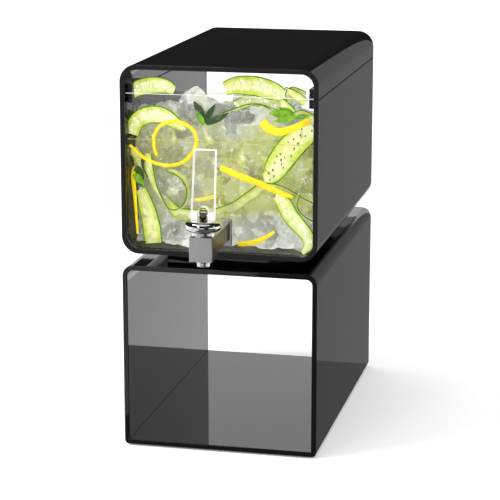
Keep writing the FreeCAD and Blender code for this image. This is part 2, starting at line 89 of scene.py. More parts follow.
class Tree:
    """Adds and joins nodes in one shader or geometry node tree."""

    def __init__(self, tree: bpy.types.NodeTree) -> None:
        """Takes hold of a tree.

        Args:
            tree: the node tree to build in.
        """
        self.tree = tree

    def node(self, kind: str, feeds: dict[str | int, object] | None = None, **settings: object) -> Node:
        """Adds a node.

        Args:
            kind: Blender's type name of the node.
            feeds: inputs by name or number, each a socket or a plain value.
            settings: properties of the node to set.

        Returns:
            The new node.
        """
        made = self.tree.nodes.new(kind)
        for name, setting in settings.items():
            setattr(made, name, setting)
        for place, source in (feeds or {}).items():
            self.feed(source, made.inputs[place])
        return made

    def feed(self, source: object, target: Socket) -> None:
        """Joins a socket to an input, or sets the input's own value; a colour may lack its fourth number."""
        if isinstance(source, bpy.types.NodeSocket):
            self.tree.links.new(source, target)
        elif target.type == "RGBA" and len(source) == 3:
            target.default_value = (*source, 1.0)
        else:
            target.default_value = source

    def math(self, operation: str, *values: object, clamp: bool = False) -> Socket:
        """Adds a Math node over sockets or numbers, held between 0 and 1 if clamp is set."""
        feeds = dict(enumerate(values))
        return self.node("ShaderNodeMath", feeds, operation=operation, use_clamp=clamp).outputs[0]

    def mix(self, factor: object, first: object, second: object, blend: str = "MIX") -> Socket:
        """Adds a colour mix.

        Args:
            factor: socket or number, 0 gives first.
            first: colour or socket.
            second: colour or socket.
            blend: how the second is laid over the first.

        Returns:
            The mixed colour socket.
        """
        feeds = {0: factor, 6: first, 7: second}
        return self.node("ShaderNodeMix", feeds, data_type="RGBA", blend_type=blend).outputs[2]

    def ramp(self, factor: Socket, stops: Sequence[tuple[float, Colour | float]]) -> Socket:
        """Adds a colour ramp.

        Args:
            factor: socket that runs along the ramp.
            stops: position and colour, or position and grey level, in order.

        Returns:
            The ramp's colour socket.
        """
        made = self.node("ShaderNodeValToRGB")
        band = made.color_ramp
        while len(band.elements) < len(stops):
            band.elements.new(0.5)
        for element, (place, shade) in zip(band.elements, stops):
            element.position = place
            tone = (shade, shade, shade) if isinstance(shade, float) else shade
            element.color = (*tone, 1.0)
        self.feed(factor, made.inputs[0])
        return made.outputs[0]

    def noise(self, where: Socket, scale: float, detail: float = 3.0, rough: float = 0.55) -> Socket:
        """Adds a noise texture.

        Args:
            where: coordinate socket.
            scale: lumps for each metre.
            detail: octaves.
            rough: how strong the finer octaves are.

        Returns:
            The noise's value socket.
        """
        feeds = {"Vector": where, "Scale": scale, "Detail": detail, "Roughness": rough}
        return self.node("ShaderNodeTexNoise", feeds).outputs["Fac"]

    def cells(self, where: Socket, scale: float, feature: str = "F1") -> Node:
        """Adds a Voronoi texture and returns the node."""
        return self.node("ShaderNodeTexVoronoi", {"Vector": where, "Scale": scale}, feature=feature)

    def skin(self, ior: float) -> Socket:
        """Share of light a surface mirrors, the same from both of its sides."""
        side = self.node("ShaderNodeNewGeometry").outputs["Backfacing"]
        seen = self.math("MULTIPLY_ADD", side, 1.0 / ior - ior, ior)
        return self.node("ShaderNodeFresnel", {"IOR": seen}).outputs[0]

    def stretch(self, where: Socket, factors: Colour) -> Socket:
        """Scales a coordinate by one factor on each axis and returns the new coordinate."""
        return self.node("ShaderNodeVectorMath", {0: where, 1: factors}, operation="MULTIPLY").outputs[0]

    def bump(self, height: Socket, strength: float, distance: float) -> Socket:
        """Adds a bump node and returns its normal."""
        feeds = {"Strength": strength, "Distance": distance, "Height": height}
        return self.node("ShaderNodeBump", feeds).outputs["Normal"]

    def group(self, tree: bpy.types.NodeTree, **values: object) -> Node:
        """Places a node group and feeds its inputs by name."""
        return self.node("ShaderNodeGroup", values, node_tree=tree)


def new_tree(
    name: str, kind: str, inputs: dict[str, str], outputs: dict[str, str]
) -> tuple[Tree, Node, Node]:
    """Starts a node group.

    Args:
        name: the group's name.
        kind: Blender's type name of its tree.
        inputs: socket name to the short name of its type.
        outputs: the same for what it puts out.

    Returns:
        The tree, its input node and its output node.
    """
    tree = bpy.data.node_groups.new(name, kind)
    for way, sockets in (("INPUT", inputs), ("OUTPUT", outputs)):
        for label, short in sockets.items():
            tree.interface.new_socket(label, in_out=way, socket_type=f"NodeSocket{short}")
    made = Tree(tree)
    return made, made.node("NodeGroupInput"), made.node("NodeGroupOutput")


def shader_group(
    name: str,
    inputs: dict[str, str],
    outputs: dict[str, str],
    fill: Callable[[Tree, Node], dict[str, Socket]],
) -> bpy.types.NodeTree:
    """Builds a shader node group once.

    Args:
        name: the group's name.
        inputs: socket name to the short name of its type.
        outputs: the same for what it puts out.
        fill: builds the inside from the group's input node and returns the output sockets by name.

    Returns:
        The group's tree.
    """
    if name not in bpy.data.node_groups:
        t, start, end = new_tree(name, "ShaderNodeTree", inputs, outputs)
        for label, source in fill(t, start).items():
            t.feed(source, end.inputs[label])
    return bpy.data.node_groups[name]


def handling_marks() -> bpy.types.NodeTree:
    """Group of the faint wipe marks and fine scratches that polished sheet and plating pick up."""

    def fill(t: Tree, start: Node) -> dict[str, Socket]:
        """Wipes and hairlines."""
        where = start.outputs["Vector"]
        cloud = t.noise(where, 22.0, 4.0, 0.6)
        wipe = t.noise(t.stretch(where, (60.0, 9.0, 14.0)), 1.0, 2.0, 0.5)
        hair = t.noise(t.stretch(where, (900.0, 70.0, 60.0)), 1.0, 1.0, 0.4)
        smear = t.math("MULTIPLY", t.ramp(cloud, ((0.42, 0.0), (0.72, 1.0))), wipe)
        rough = t.math("MULTIPLY_ADD", smear, start.outputs["Smear"], start.outputs["Polish"])
        height = t.math("ADD", t.math("MULTIPLY", wipe, 0.6), t.math("MULTIPLY", hair, 0.4))
        return {"Roughness": rough, "Height": height}

    inputs = {"Vector": "Vector", "Polish": "Float", "Smear": "Float"}
    return shader_group("handling_marks", inputs, {"Roughness": "Float", "Height": "Float"}, fill)


def drawn_grain() -> bpy.types.NodeTree:
    """Group of the straight fine lines that brushing or wire drawing leaves, along the given stretch."""

    def fill(t: Tree, start: Node) -> dict[str, Socket]:
        """Fine lines over broad ones."""
        line = start.outputs["Vector"]
        fine = t.noise(line, 1.0, 2.0, 0.6)
        broad = t.noise(line, 0.22, 2.0, 0.5)
        both = t.math("MULTIPLY_ADD", fine, 0.65, t.math("MULTIPLY", broad, 0.35))
        rough = t.math("MULTIPLY_ADD", both, start.outputs["Spread"], start.outputs["Polish"])
        return {"Grain": both, "Roughness": rough}

    inputs = {"Vector": "Vector", "Polish": "Float", "Spread": "Float"}
    return shader_group("drawn_grain", inputs, {"Grain": "Float", "Roughness": "Float"}, fill)


def fruit_mottle() -> bpy.types.NodeTree:
    """Group of the soft uneven colour and fine pores of cut or peeled fruit."""

    def fill(t: Tree, start: Node) -> dict[str, Socket]:
        """Soft patches and pores."""
        where = start.outputs["Vector"]
        soft = t.noise(where, 160.0, 3.0, 0.6)
        pores = t.cells(where, start.outputs["Pores"])
        depth = t.math("SMOOTH_MAX", pores.outputs["Distance"], 0.12, 0.2)
        blend = t.mix(t.ramp(soft, ((0.35, 0.0), (0.65, 1.0))), start.outputs["Pale"], start.outputs["Deep"])
        return {"Color": blend, "Height": t.math("MULTIPLY_ADD", soft, 0.5, depth)}

    inputs = {"Vector": "Vector", "Pores": "Float", "Pale": "Color", "Deep": "Color"}
    return shader_group("fruit_mottle", inputs, {"Color": "Color", "Height": "Float"}, fill)


# -------------------------------------------------------------------------------------------------- finishes


@dataclass(frozen=True)
class Finish:
    """One material: the record slot it belongs to, and the constants set on its shader."""

    name: str
    slot: str
    ior: float = 1.45
    metal: float = 0.0
    constants: tuple[tuple[str, float], ...] = ()

    def paint(self, t: Tree, where: Socket) -> dict[str, object]:
        """Builds the varying inputs of the shader.

        Args:
            t: the material's tree.
            where: object coordinates.

        Returns:
            Shader input name to socket or value.
        """
        raise NotImplementedError

    def material(self) -> bpy.types.Material:
        """Builds the material on first use and returns it."""
        if self.name in bpy.data.materials:
            return bpy.data.materials[self.name]
        made = bpy.data.materials.new(self.name)
        made.use_nodes = True
        made.node_tree.nodes.clear()
        t = Tree(made.node_tree)
        fixed = {"IOR": self.ior, "Metallic": self.metal, **dict(self.constants)}
        shader = t.node("ShaderNodeBsdfPrincipled", fixed)
        t.node("ShaderNodeOutputMaterial", {0: shader.outputs[0]})
        where = t.node("ShaderNodeTexCoord").outputs["Object"]
        for socket, source in self.paint(t, where).items():
            t.feed(source, shader.inputs[socket])
        return made


@dataclass(frozen=True)
class BlackSheet(Finish):
    """Polished black acrylic sheet with faint wipe marks."""

    tone: Colour = (0.0032, 0.0032, 0.0035)

    def paint(self, t: Tree, where: Socket) -> dict[str, object]:
        """Near-black colour, mirror polish and a trace of orange peel."""
        marks = t.group(handling_marks(), Vector=where, Polish=0.02, Smear=0.055)
        lift = t.noise(where, 35.0, 2.0)
        deep = tuple(c * 0.7 for c in self.tone)
        return {
            "Base Color": t.mix(lift, deep, self.tone),
            "Roughness": marks.outputs["Roughness"],
            "Normal": t.bump(marks.outputs["Height"], 0.015, 0.0004),
        }


@dataclass(frozen=True)
class ClearSheet(Finish):
    """Clear acrylic: see-through face on, and a stronger skin at a glancing angle."""

    tone: Colour = (0.035, 0.037, 0.035)
    veil: float = 0.0
    glance: float = 0.9

    def paint(self, t: Tree, where: Socket) -> dict[str, object]:
        """Alpha that follows the surface's own reflection, over a faint haze."""
        marks = t.group(handling_marks(), Vector=where, Polish=0.015, Smear=0.05)
        alpha = t.math("MULTIPLY_ADD", t.skin(self.ior), self.glance, self.veil, clamp=True)
        haze = t.noise(where, 60.0, 2.0)
        paler = tuple(min(1.0, c * 1.2) for c in self.tone)
        return {
            "Base Color": t.mix(haze, self.tone, paler),
            "Roughness": marks.outputs["Roughness"],
            "Alpha": alpha,
            "Normal": t.bump(marks.outputs["Height"], 0.01, 0.0003),
        }


@dataclass(frozen=True)
class SawnEdge(Finish):
    """Flamed edge of clear sheet, milky, with a painted glow standing in for the light it gathers."""

    tone: Colour = (0.86, 0.83, 0.84)
    body: float = 0.8
    # Strength of the painted glow that stands in for light gathered at the edge.
    glow: float = 0.42

    def paint(self, t: Tree, where: Socket) -> dict[str, object]:
        """Milky colour with fine lines along the sheet, part see-through, glowing in the same colour as
        painted light.
        """
        lines = t.group(drawn_grain(), Vector=t.stretch(where, (90.0, 900.0, 900.0)), Polish=0.12, Spread=0.2)
        shade = tuple(c * 0.75 for c in self.tone)
        tint = t.mix(lines.outputs["Grain"], shade, self.tone)
        return {
            "Base Color": tint,
            "Emission Color": tint,
            "Emission Strength": self.glow,
            "Roughness": lines.outputs["Roughness"],
            "Alpha": t.math("MULTIPLY_ADD", lines.outputs["Grain"], 0.3, self.body - 0.15, clamp=True),
        }


@dataclass(frozen=True)
class BrushedMetal(Finish):
    """Brushed or drawn steel with its grain along one axis."""

    tone: Colour = (0.66, 0.655, 0.65)
    stretch: Colour = (1500.0, 1500.0, 60.0)
    polish: float = 0.2

    def paint(self, t: Tree, where: Socket) -> dict[str, object]:
        """Warm grey metal, its roughness and height following the grain."""
        grain = t.group(drawn_grain(), Vector=t.stretch(where, self.stretch), Polish=self.polish, Spread=0.2)
        worn = tuple(c * 0.86 for c in self.tone)
        return {
            "Base Color": t.mix(grain.outputs["Grain"], worn, self.tone),
            "Roughness": grain.outputs["Roughness"],
            "Normal": t.bump(grain.outputs["Grain"], 0.12, 0.0001),
        }


@dataclass(frozen=True)
class Plating(Finish):
    """Bright chrome plating with fingertip smears."""

    tone: Colour = (0.78, 0.78, 0.79)

    def paint(self, t: Tree, where: Socket) -> dict[str, object]:
        """Mirror metal, slightly smeared."""
        marks = t.group(handling_marks(), Vector=where, Polish=0.035, Smear=0.12)
        duller = tuple(c * 0.93 for c in self.tone)
        return {
            "Base Color": t.mix(t.noise(where, 120.0), duller, self.tone),
            "Roughness": marks.outputs["Roughness"],
            "Normal": t.bump(marks.outputs["Height"], 0.02, 0.0002),
        }


@dataclass(frozen=True)
class SoftRubber(Finish):
    """Moulded silicone with a fine matt skin."""

    tone: Colour = (0.02, 0.02, 0.02)
    see_through: float = 1.0

    def paint(self, t: Tree, where: Socket) -> dict[str, object]:
        """Even colour with a fine grained skin."""
        skin = t.noise(where, 1800.0, 2.0)
        paler = tuple(min(1.0, c * 1.35 + 0.004) for c in self.tone)
        return {
            "Base Color": t.mix(t.noise(where, 90.0), self.tone, paler),
            "Roughness": t.math("MULTIPLY_ADD", skin, 0.2, 0.5),
            "Alpha": self.see_through,
            "Normal": t.bump(skin, 0.15, 0.0001),
        }


@dataclass(frozen=True)
class IceGlass(Finish):
    """Clear ice with a cloudy heart, crazed inside, and a faint painted glow."""

    tone: Colour = (0.97, 0.985, 0.97)
    # Strength of the painted glow.
    glow: float = 0.10

    def paint(self, t: Tree, where: Socket) -> dict[str, object]:
        """Almost clear colour, wet surface, shallow melt hollows, and a painted glow in patches that follow
        the melt noise.
        """
        melt = t.noise(where, 190.0, 3.0, 0.6)
        craze = t.cells(where, 240.0, "DISTANCE_TO_EDGE").outputs["Distance"]
        cloud = t.ramp(t.noise(where, 95.0, 2.0), ((0.35, 1.0), (0.7, 0.86)))
        return {
            "Base Color": t.mix(cloud, tuple(c * 0.90 for c in self.tone), self.tone),
            # Painted glow, brighter where the melt noise is high.
            "Emission Color": t.ramp(melt, ((0.40, tuple(c * 0.3 for c in self.tone)), (0.62, self.tone))),
            "Emission Strength": self.glow,
            "Roughness": t.math("MULTIPLY_ADD", melt, 0.10, 0.01),
            "Normal": t.bump(t.math("MULTIPLY_ADD", craze, 0.8, melt), 0.5, 0.0012),
        }


@dataclass(frozen=True)
class PackedIce(Finish):
    """The crushed, tinted mass of ice behind the front cubes, with painted shade, painted glints and a
    painted glow.
    """

    pale: Colour = (0.60, 0.62, 0.58)
    green: Colour = (0.50, 0.53, 0.095)
    # Colour of the painted shade.
    shade: Colour = (0.10, 0.095, 0.075)
    # Strength of the painted glow.
    glow: float = 0.50

    def paint(self, t: Tree, where: Socket) -> dict[str, object]:
        """Patches of white, green-yellow and painted shadow, crazed facets with painted glints, all glowing
        as painted light.
        """
        spot = t.node("ShaderNodeSeparateXYZ", {0: where})
        level = t.math("DIVIDE", t.math("SUBTRACT", spot.outputs[2], 0.215), 0.16)
        across = t.math("DIVIDE", t.math("ADD", spot.outputs[0], 0.10), 0.2)
        left = t.ramp(across, ((0.02, 1.0), (0.12, 0.55), (0.30, 0.0)))
        middle = t.ramp(level, ((0.10, 0.0), (0.30, 1.0), (0.72, 1.0), (0.95, 0.0)))
        patch = t.math("ADD", t.noise(where, 16.0, 2.0, 0.5), t.math("MULTIPLY_ADD", middle, 0.34, -0.22))
        facet = t.cells(where, 62.0)
        edge = t.cells(where, 62.0, "DISTANCE_TO_EDGE").outputs["Distance"]
        grey = t.ramp(facet.outputs["Color"], ((0.2, 0.0), (0.8, 1.0)))
        deep = t.ramp(facet.outputs["Color"], ((0.25, 1.0), (0.5, 0.0)))
        tint = t.mix(t.ramp(patch, ((0.36, 0.0), (0.62, 1.0))), self.pale, self.green)
        tint = t.mix(t.math("MULTIPLY", grey, 0.30), tint, self.pale)
        # Painted shade on the darker facets.
        tint = t.mix(t.math("MULTIPLY", deep, 0.45), tint, self.shade)
        fine = t.noise(where, 210.0, 4.0, 0.65)
        # Painted shade in dark patches between the lumps.
        dark = t.ramp(t.noise(where, 30.0, 3.0, 0.6), ((0.30, 1.0), (0.46, 0.0)))
        tint = t.mix(t.math("MULTIPLY", dark, 0.75), tint, self.shade)
        # Painted shade: darker brown-grey towards the left wall.
        tint = t.mix(t.math("MULTIPLY", left, 0.72), tint, (0.13, 0.115, 0.075))
        # Painted glints: near-white spots laid into the colour.
        painted_glint = t.math("MULTIPLY", t.ramp(fine, ((0.54, 0.0), (0.68, 1.0))),
                       t.ramp(t.noise(where, 45.0, 2.0), ((0.42, 0.15), (0.60, 1.0))))
        tint = t.mix(painted_glint, tint, (0.95, 0.97, 0.95))
        height = t.math("MULTIPLY_ADD", fine, 0.5, t.math("MINIMUM", edge, 0.25))
        return {
            "Base Color": tint,
            # The whole colour glows as painted light.
            "Emission Color": tint,
            "Emission Strength": self.glow,
            "Roughness": t.math("MULTIPLY_ADD", fine, 0.25, 0.06),
            "Normal": t.bump(height, 0.8, 0.003),
        }


@dataclass(frozen=True)
class Drink(Finish):
    """The water round the ice, faintly tinted by the fruit."""

    tone: Colour = (0.34, 0.36, 0.06)
    veil: float = 0.05

    def paint(self, t: Tree, where: Socket) -> dict[str, object]:
        """Thin tinted skin that thickens at a glancing angle."""
        cloud = t.noise(where, 25.0, 2.0)
        haze = t.math("MULTIPLY", cloud, self.veil * 1.6)
        alpha = t.math("MULTIPLY_ADD", t.skin(self.ior), 0.5, haze, clamp=True)
        return {
            "Base Color": t.mix(cloud, self.tone, tuple(c * 0.7 for c in self.tone)),
            "Roughness": 0.03,
            "Alpha": alpha,
            "Normal": t.bump(t.noise(where, 70.0, 1.0), 0.04, 0.001),
        }


@dataclass(frozen=True)
class CucumberSlice(Finish):
    """Wet cucumber cut lengthwise: rind on both long edges, pale flesh and a seed band between them."""

    heart: Colour = (0.70, 0.72, 0.30)
    flesh: Colour = (0.54, 0.62, 0.060)
    rim: Colour = (0.25, 0.46, 0.020)
    rind: Colour = (0.035, 0.17, 0.003)
    # Strength of the painted glow that stands in for light through the flesh.
    glow: float = 0.36

    def paint(self, t: Tree, where: Socket) -> dict[str, object]:
        """Bands across the slice from its own UV map, mottled and finely ribbed along it, glowing in the same
        colour as painted light.
        """
        spot = t.node("ShaderNodeUVMap", uv_map="slice")
        parts = t.node("ShaderNodeSeparateXYZ", {0: spot.outputs[0]})
        along, across = parts.outputs[0], parts.outputs[1]
        wobble = t.math("MULTIPLY", t.math("SUBTRACT", t.noise(where, 120.0), 0.5), 0.05)
        off = t.math("ABSOLUTE", t.math("MULTIPLY_ADD", t.math("ADD", across, wobble), 2.0, -1.0))
        bands = t.ramp(off, (
            (0.0, self.heart), (0.42, self.heart), (0.62, self.flesh), (0.84, self.flesh),
            (0.90, self.rim), (0.945, self.rind)))
        mottle = t.group(fruit_mottle(), Vector=where, Pores=700.0, Pale=(1.0, 1.0, 1.0),
                         Deep=(0.74, 0.78, 0.66))
        wash = t.ramp(t.noise(where, 55.0, 3.0, 0.6), ((0.38, 0.0), (0.52, 0.35), (0.66, 1.0)))
        inside = t.ramp(off, ((0.70, 1.0), (0.86, 0.0)))
        washed = t.mix(t.math("MULTIPLY", t.math("MULTIPLY", wash, inside), 0.55), bands, (0.88, 0.92, 0.62))
        shade = t.mix(0.85, washed, mottle.outputs["Color"], "MULTIPLY")
        lines = {0: t.math("MULTIPLY", along, 3.0), 1: t.math("MULTIPLY", across, 46.0)}
        comb = t.node("ShaderNodeCombineXYZ", lines)
        ribs = t.noise(comb.outputs[0], 1.0, 2.0)
        return {
            "Base Color": shade,
            "Emission Color": shade,
            # The slice's colour glows as painted light.
            "Emission Strength": self.glow,
            "Roughness": t.math("MULTIPLY_ADD", ribs, 0.25, 0.12),
            "Normal": t.bump(t.math("ADD", ribs, mottle.outputs["Height"]), 0.25, 0.0006),
        }


@dataclass(frozen=True)
class FruitSkin(Finish):
    """Lemon peel, seeds or leaf: one mottled colour with pores, glowing as painted light."""

    pale: Colour = (1.0, 0.84, 0.012)
    deep: Colour = (0.92, 0.62, 0.006)
    pores: float = 900.0
    relief: float = 0.5
    # Strength of the painted glow.
    glow: float = 0.34

    def paint(self, t: Tree, where: Socket) -> dict[str, object]:
        """Mottled colour, pores in relief, wet gloss, and a painted glow in the same colour."""
        mottle = t.group(fruit_mottle(), Vector=where, Pores=self.pores, Pale=self.pale,
                         Deep=self.deep)
        return {
            "Base Color": mottle.outputs["Color"],
            # The colour glows as painted light.
            "Emission Color": mottle.outputs["Color"],
            "Emission Strength": self.glow,
            "Roughness": t.math("MULTIPLY_ADD", mottle.outputs["Height"], 0.15, 0.18),
            "Normal": t.bump(mottle.outputs["Height"], self.relief, 0.0008),
        }


BLACK = BlackSheet("polished_black", "black_acrylic", ior=1.49)
CLEAR = ClearSheet("clear_pane", "clear_acrylic", ior=1.49)
LEVER_FACE = ClearSheet("clear_lever", "clear_acrylic", ior=1.49, veil=0.09, tone=(0.40, 0.40, 0.36))
# Edge faces of the windows and the lever glow with painted light.
EDGE = SawnEdge("clear_edge", "clear_acrylic", ior=1.49)
STEEL = BrushedMetal("brushed_face", "brushed_steel", metal=1.0)
# Darker, browner copy of the brushed steel for the side faces: painted shade, over a coarser real grain.
STEEL_FLANK_SHADE = BrushedMetal("brushed_flank", "brushed_steel", metal=1.0, tone=(0.20, 0.17, 0.155),
                           stretch=(900.0, 900.0, 30.0), polish=0.28)
WIRE = BrushedMetal("drawn_wire", "spring_steel", metal=1.0, tone=(0.5, 0.5, 0.5),
                    stretch=(300.0, 300.0, 300.0))
CHROME = Plating("chrome_plate", "chrome", metal=1.0)
# Plating with a dark brown tone on the valve stem, darker than the other chrome.
DULL_STEM = Plating("worn_stem", "chrome", metal=1.0, tone=(0.24, 0.19, 0.155))
TURNED = BrushedMetal("turned_tube", "chrome", metal=1.0, tone=(0.62, 0.62, 0.62),
                      stretch=(60.0, 60.0, 1500.0), polish=0.1)
# Matte near-black with almost no reflection, on the eased edges at the seam: a painted shadow line.
SEAM_SHADOW = SoftRubber("dull_seam", "black_acrylic", ior=1.49, tone=(0.002, 0.002, 0.002),
                  constants=(("Specular IOR Level", 0.05),))
RUBBER = SoftRubber("black_rubber", "black_silicone", ior=1.41)
MILKY_RUBBER = SoftRubber("milky_rubber", "clear_silicone", ior=1.41, tone=(0.42, 0.42, 0.41),
                          see_through=0.75)
ICE = IceGlass("wet_ice", "clear_acrylic", ior=1.31, constants=(("Transmission Weight", 1.0),))
ICE_MASS = PackedIce("packed_ice", "clear_acrylic", ior=1.31)
WATER = Drink("infused_water", "clear_acrylic", ior=1.33)
WATER_LINE = ClearSheet("water_line", "clear_acrylic", ior=1.33, tone=(0.62, 0.62, 0.20), veil=0.42)
CUCUMBER = CucumberSlice("cucumber_slice", "clear_acrylic", ior=1.38)
# Pale seeds glow strongly as painted light.
PALE_SEED = FruitSkin("pale_seed", "clear_acrylic", pale=(0.97, 0.98, 0.86),
                      deep=(0.88, 0.92, 0.70), relief=0.2,
                      glow=0.7)
DARK_SEED = FruitSkin("dark_seed", "clear_acrylic", pale=(0.20, 0.24, 0.05),
                      deep=(0.12, 0.16, 0.03), relief=0.2)
LEMON = FruitSkin("lemon_peel", "clear_acrylic")
MINT = FruitSkin("mint_leaf", "clear_acrylic", pale=(0.24, 0.46, 0.012), deep=(0.09, 0.26, 0.006),
                 pores=420.0)
# Darker copy of the mint finish with little glow, painted shade on the leaves that sit in shadow.
SHADED_MINT = FruitSkin("mint_shade", "clear_acrylic", pale=(0.06, 0.13, 0.025), deep=(0.025, 0.06, 0.015),
                      pores=420.0, glow=0.05)


# ---------------------------------------------------------------------------------------------- mesh helpers


def even_out(piece: bpy.types.Object) -> None:
    """Weights a piece's normals by face area, so that flat faces beside round corners stay flat to the light.

    Args:
        piece: the piece, whose mesh is replaced.
    """
    weighting = piece.modifiers.new("weighting", "WEIGHTED_NORMAL")
    weighting.keep_sharp = True
    weighting.weight = 100
    graph = bpy.context.evaluated_depsgraph_get()
    made = bpy.data.meshes.new_from_object(piece.evaluated_get(graph))
    made.name = piece.data.name
    piece.modifiers.remove(weighting)
    piece.data = made


def link(name: str, data: bpy.types.ID) -> bpy.types.Object:
    """Puts a mesh, a light or a camera in the scene."""
    made = bpy.data.objects.new(name, data)
    bpy.context.scene.collection.objects.link(made)
    return made


def new_piece(name: str, mesh: bpy.types.Mesh, finish: Finish, body: str, smooth: float = 40.0,
              even: bool = False) -> bpy.types.Object:
    """Makes a finished piece from a mesh in place.

    Args:
        name: the piece's name.
        mesh: its mesh, already in the part's frame.
        finish: its material.
        body: the body it rides on, or "" for a piece that spans two bodies and is tied to none here.
        smooth: edges flatter than this many degrees are shaded smooth.
        even: whether its normals are weighted by face area.

    Returns:
        The piece's object.
    """
    piece = link(name, mesh)
    if not mesh.materials:
        mesh.materials.append(finish.material())
    mesh.shade_smooth()
    mesh.set_sharp_from_angle(angle=math.radians(smooth))
    if even:
        even_out(piece)
    if body:
        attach(piece, body)
    LOG.info("%s: %d faces on %s", name, len(mesh.polygons), body or "two bodies")
    return piece


def mesh_of(name: str, build: Callable[[bmesh.types.BMesh], None]) -> bpy.types.Mesh:
    """Makes a mesh by letting build fill an empty bmesh."""
    work = bmesh.new()
    build(work)
    bmesh.ops.recalc_face_normals(work, faces=work.faces)
    made = bpy.data.meshes.new(name)
    work.to_mesh(made)
    work.free()
    return made


def dress(node: str, finish: Finish) -> None:
    """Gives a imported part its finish, with its mesh left as it is."""
    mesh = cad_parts[node].data
    mesh.materials.clear()
    mesh.materials.append(finish.material())


def smooth_copy(node: str, finish: Finish, body: str, angle: float = 35.0) -> bpy.types.Object:
    """Stands a merged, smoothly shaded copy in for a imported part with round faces.

    Args:
        node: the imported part.
        finish: its material.
        body: the body it rides on.
        angle: edges flatter than this many degrees are shaded smooth.

    Returns:
        The copy.
    """
    work = bmesh.new()
    work.from_mesh(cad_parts[node].data)
    bmesh.ops.remove_doubles(work, verts=work.verts, dist=1e-6)
    made = bpy.data.meshes.new(f"{node}_smooth")
    work.to_mesh(made)
    work.free()
    piece = new_piece(f"{node}_finished", made, finish, body, angle, even=True)
    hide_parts(node)
    return piece


def split_at(piece: bpy.types.Object, level: float) -> None:
    """Cuts a piece's faces along a level, so that each side can have its own finish.

    Args:
        piece: the object.
        level: height of the cut.
    """
    work = bmesh.new()
    work.from_mesh(piece.data)
    everything = [*work.verts, *work.edges, *work.faces]
    bmesh.ops.bisect_plane(work, geom=everything, dist=1e-6, plane_co=(0, 0, level), plane_no=(0, 0, 1))
    work.to_mesh(piece.data)
    work.free()


def split_faces(piece: bpy.types.Object, second: Finish, test: Callable[[Vector, Vector], bool]) -> None:
    """Gives a second finish to the faces that pass a test.

    Args:
        piece: the object.
        second: the other finish.
        test: takes a face's centre and normal.
    """
    mesh = piece.data
    mesh.materials.append(second.material())
    other = len(mesh.materials) - 1
    for face in mesh.polygons:
        if test(face.center, face.normal):
            face.material_index = other


# -------------------------------------------------------------------------------------- cut strips of fruit


class Cut(Enum):
    """Ways a strip of fruit is cut."""

    CUCUMBER = "cucumber"
    LEMON = "lemon"


@dataclass(frozen=True)
class Station:
    """One place on a strip's centre line, in millimetres, with its width and its turn.

    A turn of 0 shows the strip's broad face to the window; 90 shows its edge.
    """

    x: float
    z: float
    y: float
    width: float
    turn: float = 0.0

    def array(self) -> tuple[float, ...]:
        """All five numbers, for blending between stations."""
        return (self.x, self.y, self.z, self.width, self.turn)


